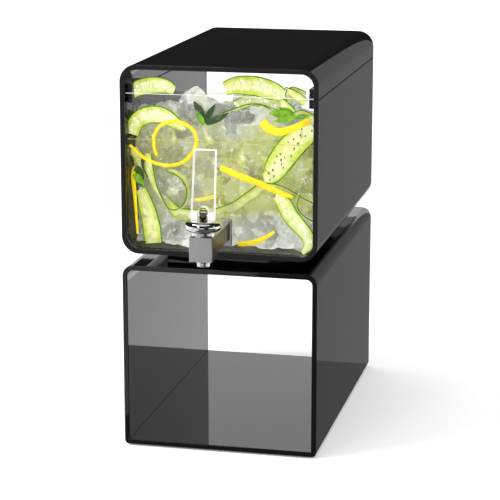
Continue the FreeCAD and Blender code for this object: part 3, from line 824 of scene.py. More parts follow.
@dataclass(frozen=True)
class Strip:
    """A curved strip of fruit with rounded edges."""

    name: str
    cut: Cut
    stations: tuple[Station, ...]
    thick: float = 1.7
    seeds: Finish | None = None
    steps: int = 10
    across: int = 12
    ruffle: float = 0.5

    def spine(self) -> list[tuple[float, ...]]:
        """Blends the stations into a smooth row of places.

        Returns:
            Rows of x, y, z, width and turn.
        """
        knots = [s.array() for s in self.stations]
        knots = [knots[0], *knots, knots[-1]]
        rows: list[tuple[float, ...]] = []
        for i in range(1, len(knots) - 2):
            for step in range(self.steps):
                u = step / self.steps
                row = []
                for a, b, c, d in zip(knots[i - 1], knots[i], knots[i + 1], knots[i + 2]):
                    row.append(0.5 * (2 * b + (c - a) * u + (2 * a - 5 * b + 4 * c - d) * u * u
                                      + (3 * b - a - 3 * c + d) * u ** 3))
                rows.append(tuple(row))
        rows.append(knots[-1])
        return rows

    def mesh(self) -> bpy.types.Mesh:
        """Sweeps the strip's section along its spine.

        Returns:
            The mesh, in metres, with the UV map "slice": metres along and 0 to 1 across.
        """
        rows = self.spine()
        places = [Vector(r[:3]) * MM for r in rows]
        rings: list[list[Vector]] = []
        lengths = [0.0]
        for i, row in enumerate(rows):
            before, after = places[max(0, i - 1)], places[min(len(places) - 1, i + 1)]
            run = (after - before).normalized()
            if i:
                lengths.append(lengths[-1] + (places[i] - places[i - 1]).length)
            flat = run.cross(Vector((0, -1, 0))).normalized()
            deep = (Vector((0, 1, 0)) - run * run.y).normalized()
            turn = math.radians(row[4])
            wide = flat * math.cos(turn) + deep * math.sin(turn)
            out = run.cross(wide).normalized()
            half = max(row[3], 0.6) / 2 * MM
            thick = self.thick / 2 * MM
            ring = []
            for k in range(2 * self.across):
                turn_k = math.pi * (k + 0.5) / self.across
                side, lift = math.cos(turn_k), math.sin(turn_k)
                lift = math.copysign(abs(lift) ** 0.45, lift)
                ruffle = noise.noise(places[i] * 90 + wide * side * 3) * self.ruffle * MM * abs(side)
                ring.append(places[i] + wide * (side * half) + out * (lift * thick + ruffle))
            rings.append(ring)

        def build(work: bmesh.types.BMesh) -> None:
            """Skins the rings and closes both ends."""
            uv = work.loops.layers.uv.new("slice")
            rows_of = [[work.verts.new(p) for p in ring] for ring in rings]
            count = 2 * self.across
            v_of = [0.5 + 0.5 * math.cos(math.pi * (k + 0.5) / self.across) for k in range(count)]
            for i in range(len(rows_of) - 1):
                for k in range(count):
                    nxt = (k + 1) % count
                    face = work.faces.new(
                        (rows_of[i][k], rows_of[i][nxt], rows_of[i + 1][nxt], rows_of[i + 1][k]))
                    for loop, (a, b) in zip(face.loops, ((i, k), (i, nxt), (i + 1, nxt), (i + 1, k))):
                        loop[uv].uv = (lengths[a] / MM / 10.0, v_of[b])
            for i in (0, len(rows_of) - 1):
                for k in range(self.across - 1):
                    other = count - 1 - k
                    quad = (rows_of[i][k], rows_of[i][k + 1], rows_of[i][other - 1], rows_of[i][other])
                    face = work.faces.new(quad)
                    for loop, b in zip(face.loops, (k, k + 1, k + 1, k)):
                        loop[uv].uv = (lengths[i] / MM / 10.0, v_of[b])

        return mesh_of(self.name, build)


def growing_tree(
    name: str, sizes: Sequence[str], fill: Callable[[Tree, Node], Socket]
) -> bpy.types.NodeTree:
    """Builds a Geometry Nodes group once, with a seed and a material among its inputs.

    Args:
        name: the group's name.
        sizes: names of its size inputs.
        fill: builds the inside from the group's input node and returns realized geometry.

    Returns:
        The group's tree.
    """
    if name not in bpy.data.node_groups:
        inputs = {"Geometry": "Geometry", **dict.fromkeys(sizes, "Float"), "Draw": "Int",
                  "Finish": "Material"}
        t, start, end = new_tree(name, "GeometryNodeTree", inputs, {"Geometry": "Geometry"})
        feeds = {"Geometry": fill(t, start), "Material": start.outputs["Finish"]}
        t.feed(t.node("GeometryNodeSetMaterial", feeds).outputs["Geometry"], end.inputs["Geometry"])
    return bpy.data.node_groups[name]


def instances(t: Tree, points: Socket, shape: Socket, turn: Socket, size: Socket) -> Socket:
    """Stands a shape on every point, turned and sized, and makes the result real."""
    feeds = {"Points": points, "Instance": shape, "Rotation": turn, "Scale": size}
    put = t.node("GeometryNodeInstanceOnPoints", feeds)
    return t.node("GeometryNodeRealizeInstances", {"Geometry": put.outputs["Instances"]}).outputs["Geometry"]


def seed_tree() -> bpy.types.NodeTree:
    """Geometry Nodes tree that sets flat seeds in the faces marked as a slice's seed band."""

    def fill(t: Tree, start: Node) -> Socket:
        """Flattened balls over the marked band, each its own size."""
        draw = start.outputs["Draw"]
        band = t.node("GeometryNodeInputNamedAttribute", {"Name": "band"}, data_type="FLOAT")
        spots = t.node("GeometryNodeDistributePointsOnFaces", {
            "Mesh": start.outputs["Geometry"], "Distance Min": start.outputs["Spacing"],
            "Density Max": 400000.0, "Density Factor": band.outputs["Attribute"], "Seed": draw,
        }, distribute_method="POISSON")
        seed = t.node("GeometryNodeMeshIcoSphere", {"Radius": 1.0, "Subdivisions": 2})
        limits = {"Min": 0.75, "Max": 1.25, "Seed": draw}
        swing = t.node("FunctionNodeRandomValue", limits, data_type="FLOAT")
        size = t.math("MULTIPLY", swing.outputs[1], start.outputs["Seed Size"])
        sides = {0: t.math("MULTIPLY", size, 0.62), 1: size, 2: t.math("MULTIPLY", size, 0.35)}
        shape = t.node("ShaderNodeCombineXYZ", sides)
        return instances(t, spots.outputs["Points"], seed.outputs["Mesh"], spots.outputs["Rotation"],
                         shape.outputs[0])

    return growing_tree("seed_band", ("Spacing", "Seed Size"), fill)


def ice_tree() -> bpy.types.NodeTree:
    """Geometry Nodes tree that stands a half-melted cube, turned and worn its own way, on every point."""

    def fill(t: Tree, start: Node) -> Socket:
        """Cubes rounded off, scattered, then pushed in and out by noise."""
        draw = start.outputs["Draw"]
        counts = {f"Vertices {axis}": 3 for axis in "XYZ"}
        cube = t.node("GeometryNodeMeshCube", {**counts, "Size": (1.0, 1.0, 1.0)})
        rounded = t.node("GeometryNodeSubdivisionSurface", {"Mesh": cube.outputs["Mesh"], "Level": 2})
        full_turn = (6.283, 6.283, 6.283)
        turn = t.node("FunctionNodeRandomValue", {"Max": full_turn, "Seed": draw}, data_type="FLOAT_VECTOR")
        limits = {"Min": (0.72, 0.72, 0.6), "Max": (1.15, 1.15, 1.0), "Seed": draw}
        grow = t.node("FunctionNodeRandomValue", limits, data_type="FLOAT_VECTOR")
        feeds = {0: grow.outputs[0], "Scale": start.outputs["Cube Size"]}
        size = t.node("ShaderNodeVectorMath", feeds, operation="SCALE")
        real = instances(t, start.outputs["Geometry"], rounded.outputs["Mesh"], turn.outputs[0],
                         size.outputs[0])
        place = t.node("GeometryNodeInputPosition").outputs[0]
        wear = t.node("ShaderNodeTexNoise", {"Vector": place, "Scale": 70.0, "Detail": 1.5})
        lean = t.math("MULTIPLY", t.math("SUBTRACT", wear.outputs["Fac"], 0.5), start.outputs["Melt"])
        out = t.node("GeometryNodeInputNormal").outputs[0]
        push = t.node("ShaderNodeVectorMath", {0: out, "Scale": lean}, operation="SCALE")
        moved = t.node("GeometryNodeSetPosition", {"Geometry": real, "Offset": push.outputs[0]})
        return moved.outputs["Geometry"]

    return growing_tree("ice_cubes", ("Cube Size", "Melt"), fill)


def grown(name: str, source: bpy.types.Mesh, tree: bpy.types.NodeTree, **values: object) -> bpy.types.Mesh:
    """Runs a Geometry Nodes tree over a mesh and returns the plain result.

    Args:
        name: name of the resulting mesh.
        source: the mesh the tree starts from.
        tree: the Geometry Nodes tree.
        values: its inputs, with underscores for spaces.

    Returns:
        A new mesh.
    """
    carrier = link(f"{name}_carrier", source)
    modifier = carrier.modifiers.new(name, "NODES")
    modifier.node_group = tree
    wanted = {label.replace("_", " "): each for label, each in values.items()}
    for item in tree.interface.items_tree:
        if item.in_out == "INPUT" and item.name in wanted:
            modifier[item.identifier] = wanted[item.name]
    evaluated = carrier.evaluated_get(bpy.context.evaluated_depsgraph_get())
    made = bpy.data.meshes.new_from_object(evaluated)
    made.name = name
    carrier.modifiers.remove(modifier)
    bpy.data.objects.remove(carrier)
    return made


# ----------------------------------------------------------------------------------------------- assemblies


@dataclass
class RiserBase:
    """The open riser: floor plate, upturned shell and four feet."""

    shells: tuple[str, ...] = ("base_shell", "base_plate")
    feet: tuple[str, ...] = ("foot_front_left", "foot_front_right", "foot_rear_left", "foot_rear_right")

    def build(self) -> None:
        """Finishes every part of the base."""
        for node in self.shells:
            smooth_copy(node, BLACK, "base")
        for node in self.feet:
            smooth_copy(node, MILKY_RUBBER, "base")


def eased_edge(centre: Vector, normal: Vector, seam: float) -> bool:
    """Tells whether a face lies on the eased outer edge beside the seam between tank and lid.

    Args:
        centre: the face's centre.
        normal: the face's normal.
        seam: height of the seam.

    Returns:
        True on the eased edge.
    """
    return abs(centre.z - seam) < 0.8 * MM and 0.05 < abs(normal.z) < 0.995 and abs(normal.x) > 0.05


@dataclass
class Tank:
    """The tank's shell, windows, plinth and pads."""

    seam: float = field(default_factory=lambda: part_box("tank_shell")[1].z)
    pads: tuple[str, ...] = (
        "plinth_pad_front_left", "plinth_pad_front_right", "plinth_pad_rear_left", "plinth_pad_rear_right")

    def build(self) -> None:
        """Finishes every part of the tank."""
        shell = smooth_copy("tank_shell", BLACK, "tank")
        # The eased edges at the seam get the painted shadow line.
        split_faces(shell, SEAM_SHADOW, lambda centre, normal: eased_edge(centre, normal, self.seam))
        smooth_copy("tank_plinth", BLACK, "tank")
        for node in self.pads:
            smooth_copy(node, MILKY_RUBBER, "tank")
        for node in ("tank_front_window", "tank_rear_window"):
            pane = smooth_copy(node, CLEAR, "tank", 30.0)
            # Edge faces by the seam get the glowing edge finish, painted light.
            split_faces(pane, EDGE,
                        lambda centre, normal: abs(normal.z) > 0.9 and centre.z > self.seam - 1 * MM)


@dataclass
class Lid:
    """The lid's shell, windows and locating tabs."""

    seam: float = field(default_factory=lambda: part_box("lid_shell")[0].z)

    def build(self) -> None:
        """Finishes every part of the lid."""
        shell = smooth_copy("lid_shell", BLACK, "lid")
        # The eased edges at the seam get the painted shadow line.
        split_faces(shell, SEAM_SHADOW, lambda centre, normal: eased_edge(centre, normal, self.seam))
        for node in ("lid_front_window", "lid_rear_window"):
            pane = smooth_copy(node, CLEAR, "lid", 30.0)
            # Edge faces by the seam get the glowing edge finish, painted light.
            split_faces(pane, EDGE,
                        lambda centre, normal: abs(normal.z) > 0.9 and centre.z < self.seam + 1 * MM)
        for end in ("front", "rear"):
            for hand in ("left", "right"):
                dress(f"lid_tab_{end}_{hand}", BLACK)


@dataclass
class Tap:
    """The tap: steel housing, plated ring and nozzle, sprung stem and clear lever."""

    steel: tuple[str, ...] = ("tap_body", "tap_flange")
    lever_feet: float = 7.2 * MM
    fixed: tuple[tuple[Finish, tuple[str, ...]], ...] = (
        (CHROME, ("tap_bonnet", "tap_shank", "shank_nut", "shank_washer")),
        (TURNED, ("tap_nozzle", "tap_collar")),
        (RUBBER, ("bonnet_gasket",)),
        (MILKY_RUBBER, ("flange_washer", "inner_seal")),
    )

    def build(self) -> None:
        """Finishes every part of the tap."""
        for node in self.steel:
            part = smooth_copy(node, STEEL, "tank")
            # The side faces take the darker steel copy, painted shade.
            split_faces(part, STEEL_FLANK_SHADE, lambda centre, normal: abs(normal.x) > 0.9)
        for finish, nodes in self.fixed:
            for node in nodes:
                smooth_copy(node, finish, "tank")
        spring = smooth_copy("valve_spring", WIRE, "")
        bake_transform(spring)
        smooth_copy("valve_stem", DULL_STEM, "stem")
        smooth_copy("seat_cup", RUBBER, "stem")
        smooth_copy("lever_pin", CHROME, "lever")
        lever = smooth_copy("tap_lever", LEVER_FACE, "lever", 30.0)
        feet_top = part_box("tap_lever")[0].z + self.lever_feet
        split_at(lever, feet_top)
        # The lever's edges and feet get the glowing edge finish, painted light.
        split_faces(lever, EDGE, lambda centre, normal: abs(normal.y) < 0.9 or centre.z < feet_top)


@dataclass(frozen=True)
class Leaf:
    """One mint leaf, folded a little along its midrib, with a toothed edge."""

    root: tuple[float, float, float]
    tip: tuple[float, float, float]
    width: float
    lift: float = 1.5
    teeth: int = 7

    def add_to(self, work: bmesh.types.BMesh) -> None:
        """Adds the leaf as a thin closed blade.

        Args:
            work: the bmesh that gathers a sprig's leaves.
        """
        root, tip = Vector(self.root) * MM, Vector(self.tip) * MM
        run = (tip - root).normalized()
        side = run.cross(Vector((0, -1, 0))).normalized()
        out = side.cross(run).normalized()
        rows, cols = 4 * self.teeth, 8
        layers = []
        for face_side in (0.00022, -0.00022):
            sheet = []
            for i in range(rows + 1):
                u = i / rows
                half = self.width / 2 * MM * math.sin(math.pi * min(1.0, u ** 0.8)) ** 0.8
                half *= 1.0 + 0.08 * (1.0 - abs((u * self.teeth) % 1.0 * 2 - 1))
                row = []
                for k in range(-cols // 2, cols // 2 + 1):
                    v = k / (cols / 2)
                    vein = 0.35 * MM * math.sin(math.pi * (u * 14 - abs(v) * 3)) * abs(v) * (1 - abs(v))
                    fold = self.lift * MM * (abs(v) - 0.4) * math.sin(math.pi * u)
                    bend = self.lift * MM * 1.6 * math.sin(math.pi * u)
                    row.append(work.verts.new(
                        root.lerp(tip, u) + side * (v * half) + out * (fold + vein - bend + face_side)))
                sheet.append(row)
            layers.append(sheet)
        top, low = layers
        for i in range(rows):
            for k in range(cols):
                work.faces.new((top[i][k], top[i][k + 1], top[i + 1][k + 1], top[i + 1][k]))
                work.faces.new((low[i][k], low[i + 1][k], low[i + 1][k + 1], low[i][k + 1]))
            for k in (0, cols):
                work.faces.new((top[i][k], top[i + 1][k], low[i + 1][k], low[i][k]))
        for i in (0, rows):
            for k in range(cols):
                work.faces.new((top[i][k], low[i][k], low[i][k + 1], top[i][k + 1]))


def cucumber(name: str, stations: Iterable[tuple[float, ...]], thick: float = 1.7,
             seeds: Finish | None = None) -> Strip:
    """Describes a cucumber strip from rows of x, z, y, width and turn."""
    return Strip(name, Cut.CUCUMBER, tuple(Station(*row) for row in stations), thick, seeds)


def lemon(name: str, stations: Iterable[tuple[float, ...]], thick: float = 2.0) -> Strip:
    """Describes a lemon strip from rows of x, z, y, width and turn."""
    return Strip(name, Cut.LEMON, tuple(Station(*row) for row in stations), thick, None, ruffle=0.2)


STRIPS: tuple[Strip, ...] = (
    cucumber("cucumber_arch", (
        (-97, 338, -118, 15, 20), (-91, 352, -119, 17, 10), (-78, 359, -120, 19, 5),
        (-63, 359, -120, 18, 0),
        (-50, 352, -119, 15, 10), (-40, 345, -117, 10, 30)), seeds=PALE_SEED),
    cucumber("cucumber_loop", (
        (-79, 318, -119, 12, 35), (-78, 300, -119, 13, 30), (-73, 285, -119, 12, 45),
        (-66, 272, -118.5, 11, 60),
        (-58, 262, -118.5, 11, 80), (-49, 259.5, -118.5, 11, 85), (-40, 266, -118.5, 11, 85),
        (-36, 279, -118.5, 11, 85), (-40, 292, -118.5, 11, 80), (-50, 299, -118, 9, 75),
        (-58, 301, -117, 6, 70))),
    cucumber("cucumber_hem", (
        (-62, 268, -113, 14, 35), (-50, 256, -114, 15, 20), (-34, 254, -115, 14, 20),
        (-14, 258, -116, 12, 30))),
    cucumber("cucumber_stave", (
        (-88, 279, -116, 14, 20), (-82, 262, -118, 18, 8), (-77, 244, -119, 20, 4),
        (-75, 231, -119.5, 20, 2),
        (-74, 222.5, -119.5, 19, 0)), seeds=None),
    cucumber("cucumber_bow", (
        (97, 351, -117, 22, 12), (84, 341, -118, 26, 6), (72, 329, -119, 28, 2), (62, 315, -119, 27, 2),
        (53, 302, -119, 22, 10), (45, 297, -118, 12, 25)), seeds=DARK_SEED),
    cucumber("cucumber_long", (
        (-6, 259, -112.5, 11, 50), (14, 266, -115, 13, 40), (32, 279, -117, 13, 35),
        (46, 289, -117.5, 12, 50),
        (66, 288, -117.5, 9, 70), (84, 278, -117, 9, 70), (97, 271, -116, 9, 60))),
    cucumber("cucumber_curl", (
        (58, 279, -119, 12, 15), (66, 272, -120, 17, 5), (72, 261, -120, 18, 3), (81, 250, -120, 17, 3),
        (90, 240, -120, 16, 10), (93, 229, -119.5, 13, 20), (86, 219.8, -119, 6, 30)), seeds=PALE_SEED),
    cucumber("cucumber_tail", (
        (82, 282, -117.5, 10, 75), (80, 270, -117.5, 11, 80), (86, 259, -117.5, 11, 70),
        (96, 252, -117, 11, 60))),
    cucumber("cucumber_crest", (
        (3, 389, -117, 14, 8), (17, 393, -119, 19, 4), (36, 393, -120, 21, 2), (53, 389, -120, 20, 4),
        (65, 384, -119, 15, 12)), seeds=PALE_SEED),
    cucumber("cucumber_brow", (
        (14, 371, -114, 11, 10), (30, 378, -115, 14, 5), (47, 379, -116, 15, 5), (62, 374, -116, 15, 10),
        (74, 365, -115, 12, 20)), seeds=PALE_SEED),
    cucumber("cucumber_band", (
        (-2, 361, -110.5, 8, 70), (14, 367, -112, 10, 70), (30, 372, -112, 10, 70),
        (46, 370, -112, 10, 70),
        (58, 361, -111, 10, 60))),
    cucumber("cucumber_corner", (
        (-97, 381, -118, 13, 10), (-88, 387, -119, 17, 6), (-74, 390.5, -120, 18, 4),
        (-60, 390, -120, 16, 6),
        (-50, 386, -119, 11, 14)), seeds=PALE_SEED),
    cucumber("cucumber_fold", (
        (67, 392, -117, 7, 70), (72, 388, -118, 9, 30), (80, 383, -118, 11, 20),
        (88, 377, -117, 11, 30))),
    cucumber("cucumber_tent", (
        (71, 377, -114.5, 8, 60), (70, 387, -115, 9, 50), (76, 391, -115, 9, 60),
        (88, 386, -115, 9, 55))),
    cucumber("cucumber_right", (
        (72, 363, -114, 7, 60), (84, 364, -115, 12, 25), (97, 357, -115, 14, 15))),
    cucumber("cucumber_left", (
        (-97, 322, -113, 12, 10), (-91, 312, -112, 13, 5), (-88, 298, -111, 11, 10),
        (-90, 284, -112, 8, 20))),
    lemon("lemon_loop", (
        (-98, 327, -122, 3.4, 30), (-86, 316, -122, 3.6, 25), (-71, 309, -122, 3.6, 25),
        (-56, 307, -122, 3.6, 25),
        (-42, 310.5, -121.5, 3.6, 25), (-31, 320.5, -121.5, 3.8, 25), (-26, 333, -121.5, 3.8, 25),
        (-29, 344, -121.5, 3.6, 25), (-39, 351.5, -121.5, 3.6, 25), (-51, 353.5, -121, 3.4, 25),
        (-64, 349, -121, 3.4, 25), (-71.5, 339, -120, 3.4, 25), (-73, 327, -118, 3.4, 25),
        (-71, 316, -116, 3.0, 25)), 2.6),
    lemon("lemon_bar", (
        (0, 307, -122, 6.0, 10), (18, 300, -122.5, 6.6, 5), (45, 290.5, -122.5, 6.2, 5),
        (62, 283.5, -122, 5.4, 5),
        (76, 279, -121, 3.0, 10)), 3.0),
    lemon("lemon_wedge", (
        (43, 356, -118, 9, 10), (50, 349.5, -119, 9, 5), (62, 346.5, -120, 8, 10),
        (76, 351, -120, 7, 15),
        (92, 359, -118, 6, 20)), 4.0),
    lemon("lemon_peel_low", (
        (17, 226, -118, 5.0, 20), (26, 226.5, -119, 5.4, 10), (42, 231.5, -119, 5.0, 10),
        (56, 240.5, -118, 3.0, 20)),
        2.2),
    lemon("lemon_thin", (
        (-95, 303, -117, 3.0, 20), (-96, 292, -118, 5.0, 10), (-94, 265, -118, 3.4, 10),
        (-92, 231, -118, 2.4, 10)),
        2.0),
    lemon("lemon_behind", (
        (-31, 270, -117, 3.6, 10), (-20, 272, -118, 4.4, 10), (-6, 275.5, -117, 3.6, 10)), 2.0),
)

@dataclass
class Infusion:
    """The drink: water, packed ice, loose cubes, strips of cucumber and lemon, and mint."""

    window_back: float = field(default_factory=lambda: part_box("tank_front_window")[1].y)
    rear_back: float = field(default_factory=lambda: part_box("tank_rear_window")[0].y)
    floor: float = field(default_factory=lambda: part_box("tank_front_window")[0].z)
    half: float = field(default_factory=lambda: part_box("tank_front_window")[1].x)
    water_top: float = 0.334
    corner: float = 0.0136
    clear: float = 0.0006
    seed: int = 11

    def heap_top(self, x: float, y: float) -> float:
        """Height of the packed ice above a point of the floor.

        Args:
            x: place across the tank.
            y: place along the tank.

        Returns:
            The height in the part's frame.
        """
        wave = noise.noise(Vector((x * 16, y * 16, 3.1))) * 0.010
        slope = 0.27 * max(0.0, y - self.window_back - 0.02)
        peak = 0.024 * math.exp(-((x + 0.030) / 0.016) ** 2 - ((y - self.window_back - 0.02) / 0.03) ** 2)
        return 0.371 + wave + peak - slope - 0.008 * (abs(x) / self.half) ** 3

    def packed_ice(self) -> None:
        """Builds the lumpy mass that fills the tank behind the front cubes."""
        low = Vector((-self.half + 0.002, self.window_back + 0.0135, self.floor + 0.0008))
        high = Vector((self.half - 0.002, self.rear_back - 0.006, 0.0))
        nx, ny, nz = 54, 84, 42

        def place(i: int, j: int, k: int) -> Vector:
            """One vertex of the block's skin, dented by the cubes in it and kept off the tank's corners."""
            x = low.x + (high.x - low.x) * i / nx
            y = low.y + (high.y - low.y) * j / ny
            z = low.z + (self.heap_top(x, y) - low.z) * k / nz
            point = Vector((x, y, z))
            spread, corners = noise.voronoi(point * 48)
            crease = min(spread[1] - spread[0], 0.35) / 0.35
            facet = noise.cell(corners[0] * 7.3) - 0.5
            away = Vector((
                (i == nx) - (i == 0), (j == ny) - (j == 0), (k == nz) - (k == 0))).normalized()
            dent = 0.0045 * (1.0 - crease) + 0.0035 * (0.5 - facet)
            if k == nz:
                dent *= 1.8
            moved = point - away * max(0.0, dent)
            toe = max(0.0, 1.0 - (moved.z - self.floor) / 0.011) * max(0.0, 1.0 - j / 5)
            moved.y -= 0.0105 * toe ** 0.5
            drop = math.hypot(max(0.0, abs(moved.x) - (self.half - self.corner)),
                              max(0.0, self.floor + self.corner - moved.z)) - self.corner + 0.0006
            if drop > 0:
                beside = math.copysign(self.half - self.corner, moved.x)
                centre = Vector((beside, moved.y, self.floor + self.corner))
                moved += (centre - moved).normalized() * drop
            return moved

        def build(work: bmesh.types.BMesh) -> None:
            """Skins the block's six sides."""
            known: dict[tuple[int, int, int], bmesh.types.BMVert] = {}

            def vert(i: int, j: int, k: int) -> bmesh.types.BMVert:
                """The vertex at a grid place, made once."""
                if (i, j, k) not in known:
                    known[i, j, k] = work.verts.new(place(i, j, k))
                return known[i, j, k]

            def quad(spot: tuple[int, int, int], first: int, second: int) -> None:
                """One face of the grid, from a place along two of its axes."""
                corners = []
                for one, two in ((0, 0), (1, 0), (1, 1), (0, 1)):
                    there = list(spot)
                    there[first] += one
                    there[second] += two
                    corners.append(vert(*there))
                work.faces.new(corners)

            for j in range(ny):
                for k in range(nz):
                    for i in (0, nx):
                        quad((i, j, k), 1, 2)
            for i in range(nx):
                for k in range(nz):
                    for j in (0, ny):
                        quad((i, j, k), 0, 2)
                for j in range(ny):
                    for k in (0, nz):
                        quad((i, j, k), 0, 1)

        new_piece("packed_ice", mesh_of("packed_ice", build), ICE_MASS, "tank", 25.0)

    def cube_places(self, draw: random.Random) -> list[Vector]:
        """Chooses where loose cubes lie: behind each window and over the heap.

        Args:
            draw: seeded source of chance.

        Returns:
            Their centres.
        """
        spots: list[Vector] = []
        step = 0.0185
        for face_y in (self.window_back + 0.0165, self.rear_back - 0.0165):
            for row in range(8):
                for column in range(10):
                    x = -self.half + 0.017 + column * step + draw.uniform(-0.003, 0.003)
                    z = self.floor + 0.0125 + row * step + draw.uniform(-0.002, 0.003)
                    near_nut = abs(x) < 0.024 and abs(z - 0.2416) < 0.026 and face_y < 0
                    heaped = z > self.heap_top(x, face_y) - 0.004
                    if near_nut or heaped or abs(x) > self.half - 0.014:
                        continue
                    spots.append(Vector((x, face_y + draw.uniform(-0.001, 0.003), z)))
        for row in range(17):
            for column in range(9):
                x = -self.half + 0.022 + column * 0.0195 + draw.uniform(-0.004, 0.004)
                y = self.window_back + 0.016 + row * 0.0195 + draw.uniform(-0.004, 0.004)
                over_peak = abs(x + 0.030) < 0.034 and y < self.window_back + 0.075
                if abs(x) > self.half - 0.022 or y > self.rear_back - 0.014 or over_peak:
                    continue
                spots.append(Vector((x, y, self.heap_top(x, y) + draw.uniform(-0.003, 0.008))))
        return spots

    def loose_ice(self) -> None:
        """Builds the loose cubes."""
        draw = random.Random(self.seed)
        points = bpy.data.meshes.new("ice_places")
        points.from_pydata([tuple(p) for p in self.cube_places(draw)], [], [])
        made = grown("ice_cubes", points, ice_tree(), Cube_Size=0.0185, Melt=0.006, Draw=self.seed,
                     Finish=ICE.material())
        new_piece("ice_cubes", made, ICE, "tank", 60.0)

    def water(self) -> None:
        """Builds the body of water as a closed block with the tank's rounded lower corners."""
        side = self.half - self.clear
        low = self.floor + self.clear
        radius = self.corner
        outline: list[tuple[float, float]] = [(-side, self.water_top)]
        for start in (180, 270):
            centre = (math.copysign(side - radius, 1 if start == 270 else -1), low + radius)
            for step in range(9):
                turn = math.radians(start + 90 * step / 8)
                outline.append((centre[0] + radius * math.cos(turn), centre[1] + radius * math.sin(turn)))
        outline.append((side, self.water_top))
        lip = 0.0005
        ends = (self.window_back + self.clear, self.rear_back - self.clear)

        def build(work: bmesh.types.BMesh) -> None:
            """Joins the outline at one window to the outline at the other."""
            rings = [[work.verts.new((x, y, z)) for x, z in outline] for y in ends]
            work.faces.new(rings[0])
            work.faces.new(list(reversed(rings[1])))
            count = len(outline)
            for k in range(count):
                nxt = (k + 1) % count
                work.faces.new((rings[0][k], rings[1][k], rings[1][nxt], rings[0][nxt]))

        new_piece("drink_water", mesh_of("drink_water", build), WATER, "tank")

        def meniscus(work: bmesh.types.BMesh) -> None:
            """Thin rounded rim where the water meets the walls."""
            corners = [(-side, ends[0]), (side, ends[0]), (side, ends[1]), (-side, ends[1])]
            rows = []
            for inset, drop in ((0.0, lip), (0.0, -lip * 0.4), (lip * 1.2, -lip * 0.2),
                                (lip * 0.4, lip * 0.3)):
                rows.append([work.verts.new((x - math.copysign(inset, x),
                                             y + (inset if y == ends[0] else -inset),
                                             self.water_top + drop)) for x, y in corners])
            for a in range(4):
                b = (a + 1) % 4
                for k in range(4):
                    nxt = (k + 1) % 4
                    work.faces.new((rows[a][k], rows[a][nxt], rows[b][nxt], rows[b][k]))

        new_piece("water_line", mesh_of("water_line", meniscus), WATER_LINE, "tank")

    def strips(self) -> None:
        """Builds every strip of fruit, and the seeds of the slices that show them."""
        seeded = 0
        for strip in STRIPS:
            finish = CUCUMBER if strip.cut is Cut.CUCUMBER else LEMON
            mesh = strip.mesh()
            new_piece(strip.name, mesh, finish, "tank", 50.0)
            if strip.seeds is None:
                continue
            marked = mesh.copy()
            band = marked.attributes.new("band", "FLOAT", "POINT")
            across = [0.0] * len(marked.vertices)
            ring = 2 * strip.across
            for index in range(len(across)):
                place = math.cos(math.pi * (index % ring + 0.5) / strip.across)
                across[index] = 1.0 if abs(place) < 0.42 else 0.0
            band.data.foreach_set("value", across)
            pale = strip.seeds is PALE_SEED
            made = grown(f"{strip.name}_seeds", marked, seed_tree(), Spacing=0.0028 if pale else 0.0034,
                         Seed_Size=0.0013 if pale else 0.0015, Draw=self.seed + seeded,
                         Finish=strip.seeds.material())
            seeded += 1
            new_piece(f"{strip.name}_seeds", made, strip.seeds, "tank", 60.0)

    def mint(self) -> None:
        """Builds the sprigs of mint and the lime leaf."""
        sprigs = {
            # The darker mint copy is painted shade on these sprigs.
            "mint_sprig_left": (SHADED_MINT, (
                Leaf((-19, -119, 356), (-30, -117, 375), 8), Leaf((-17, -118, 351), (7, -113, 363), 7),
                Leaf((-19, -119, 352), (-8, -113, 372), 7))),
            "mint_sprig_low": (SHADED_MINT, (
                Leaf((-91, -120, 305), (-88, -119, 282), 11), Leaf((-85, -119.5, 315), (-80, -118, 292), 8))),
            "lime_leaf": (MINT, (Leaf((-95, -121, 296), (-84, -120, 285), 8),)),
            "mint_sprig_front": (MINT, (Leaf((-18, -121, 350), (-27, -121, 366), 6),)),
            "mint_sprig_right": (MINT, (
                Leaf((79, -122, 363), (50, -121, 366), 9), Leaf((79, -122, 363), (56, -121.5, 357), 7),
                Leaf((77, -120, 364), (60, -118, 371), 7), Leaf((78, -121, 362), (93, -119, 364), 5))),
        }
        for name, (finish, leaves) in sprigs.items():

            def build(work: bmesh.types.BMesh, chosen: tuple[Leaf, ...] = leaves) -> None:
                """Adds the sprig's leaves."""
                for leaf in chosen:
                    leaf.add_to(work)

            new_piece(name, mesh_of(name, build), finish, "tank", 60.0)

    def build(self) -> None:
        """Fills the tank."""
        self.packed_ice()
        self.loose_ice()
        self.water()
        self.strips()
        self.mint()


# --------------------------------------------------------------------------------------------------- studio


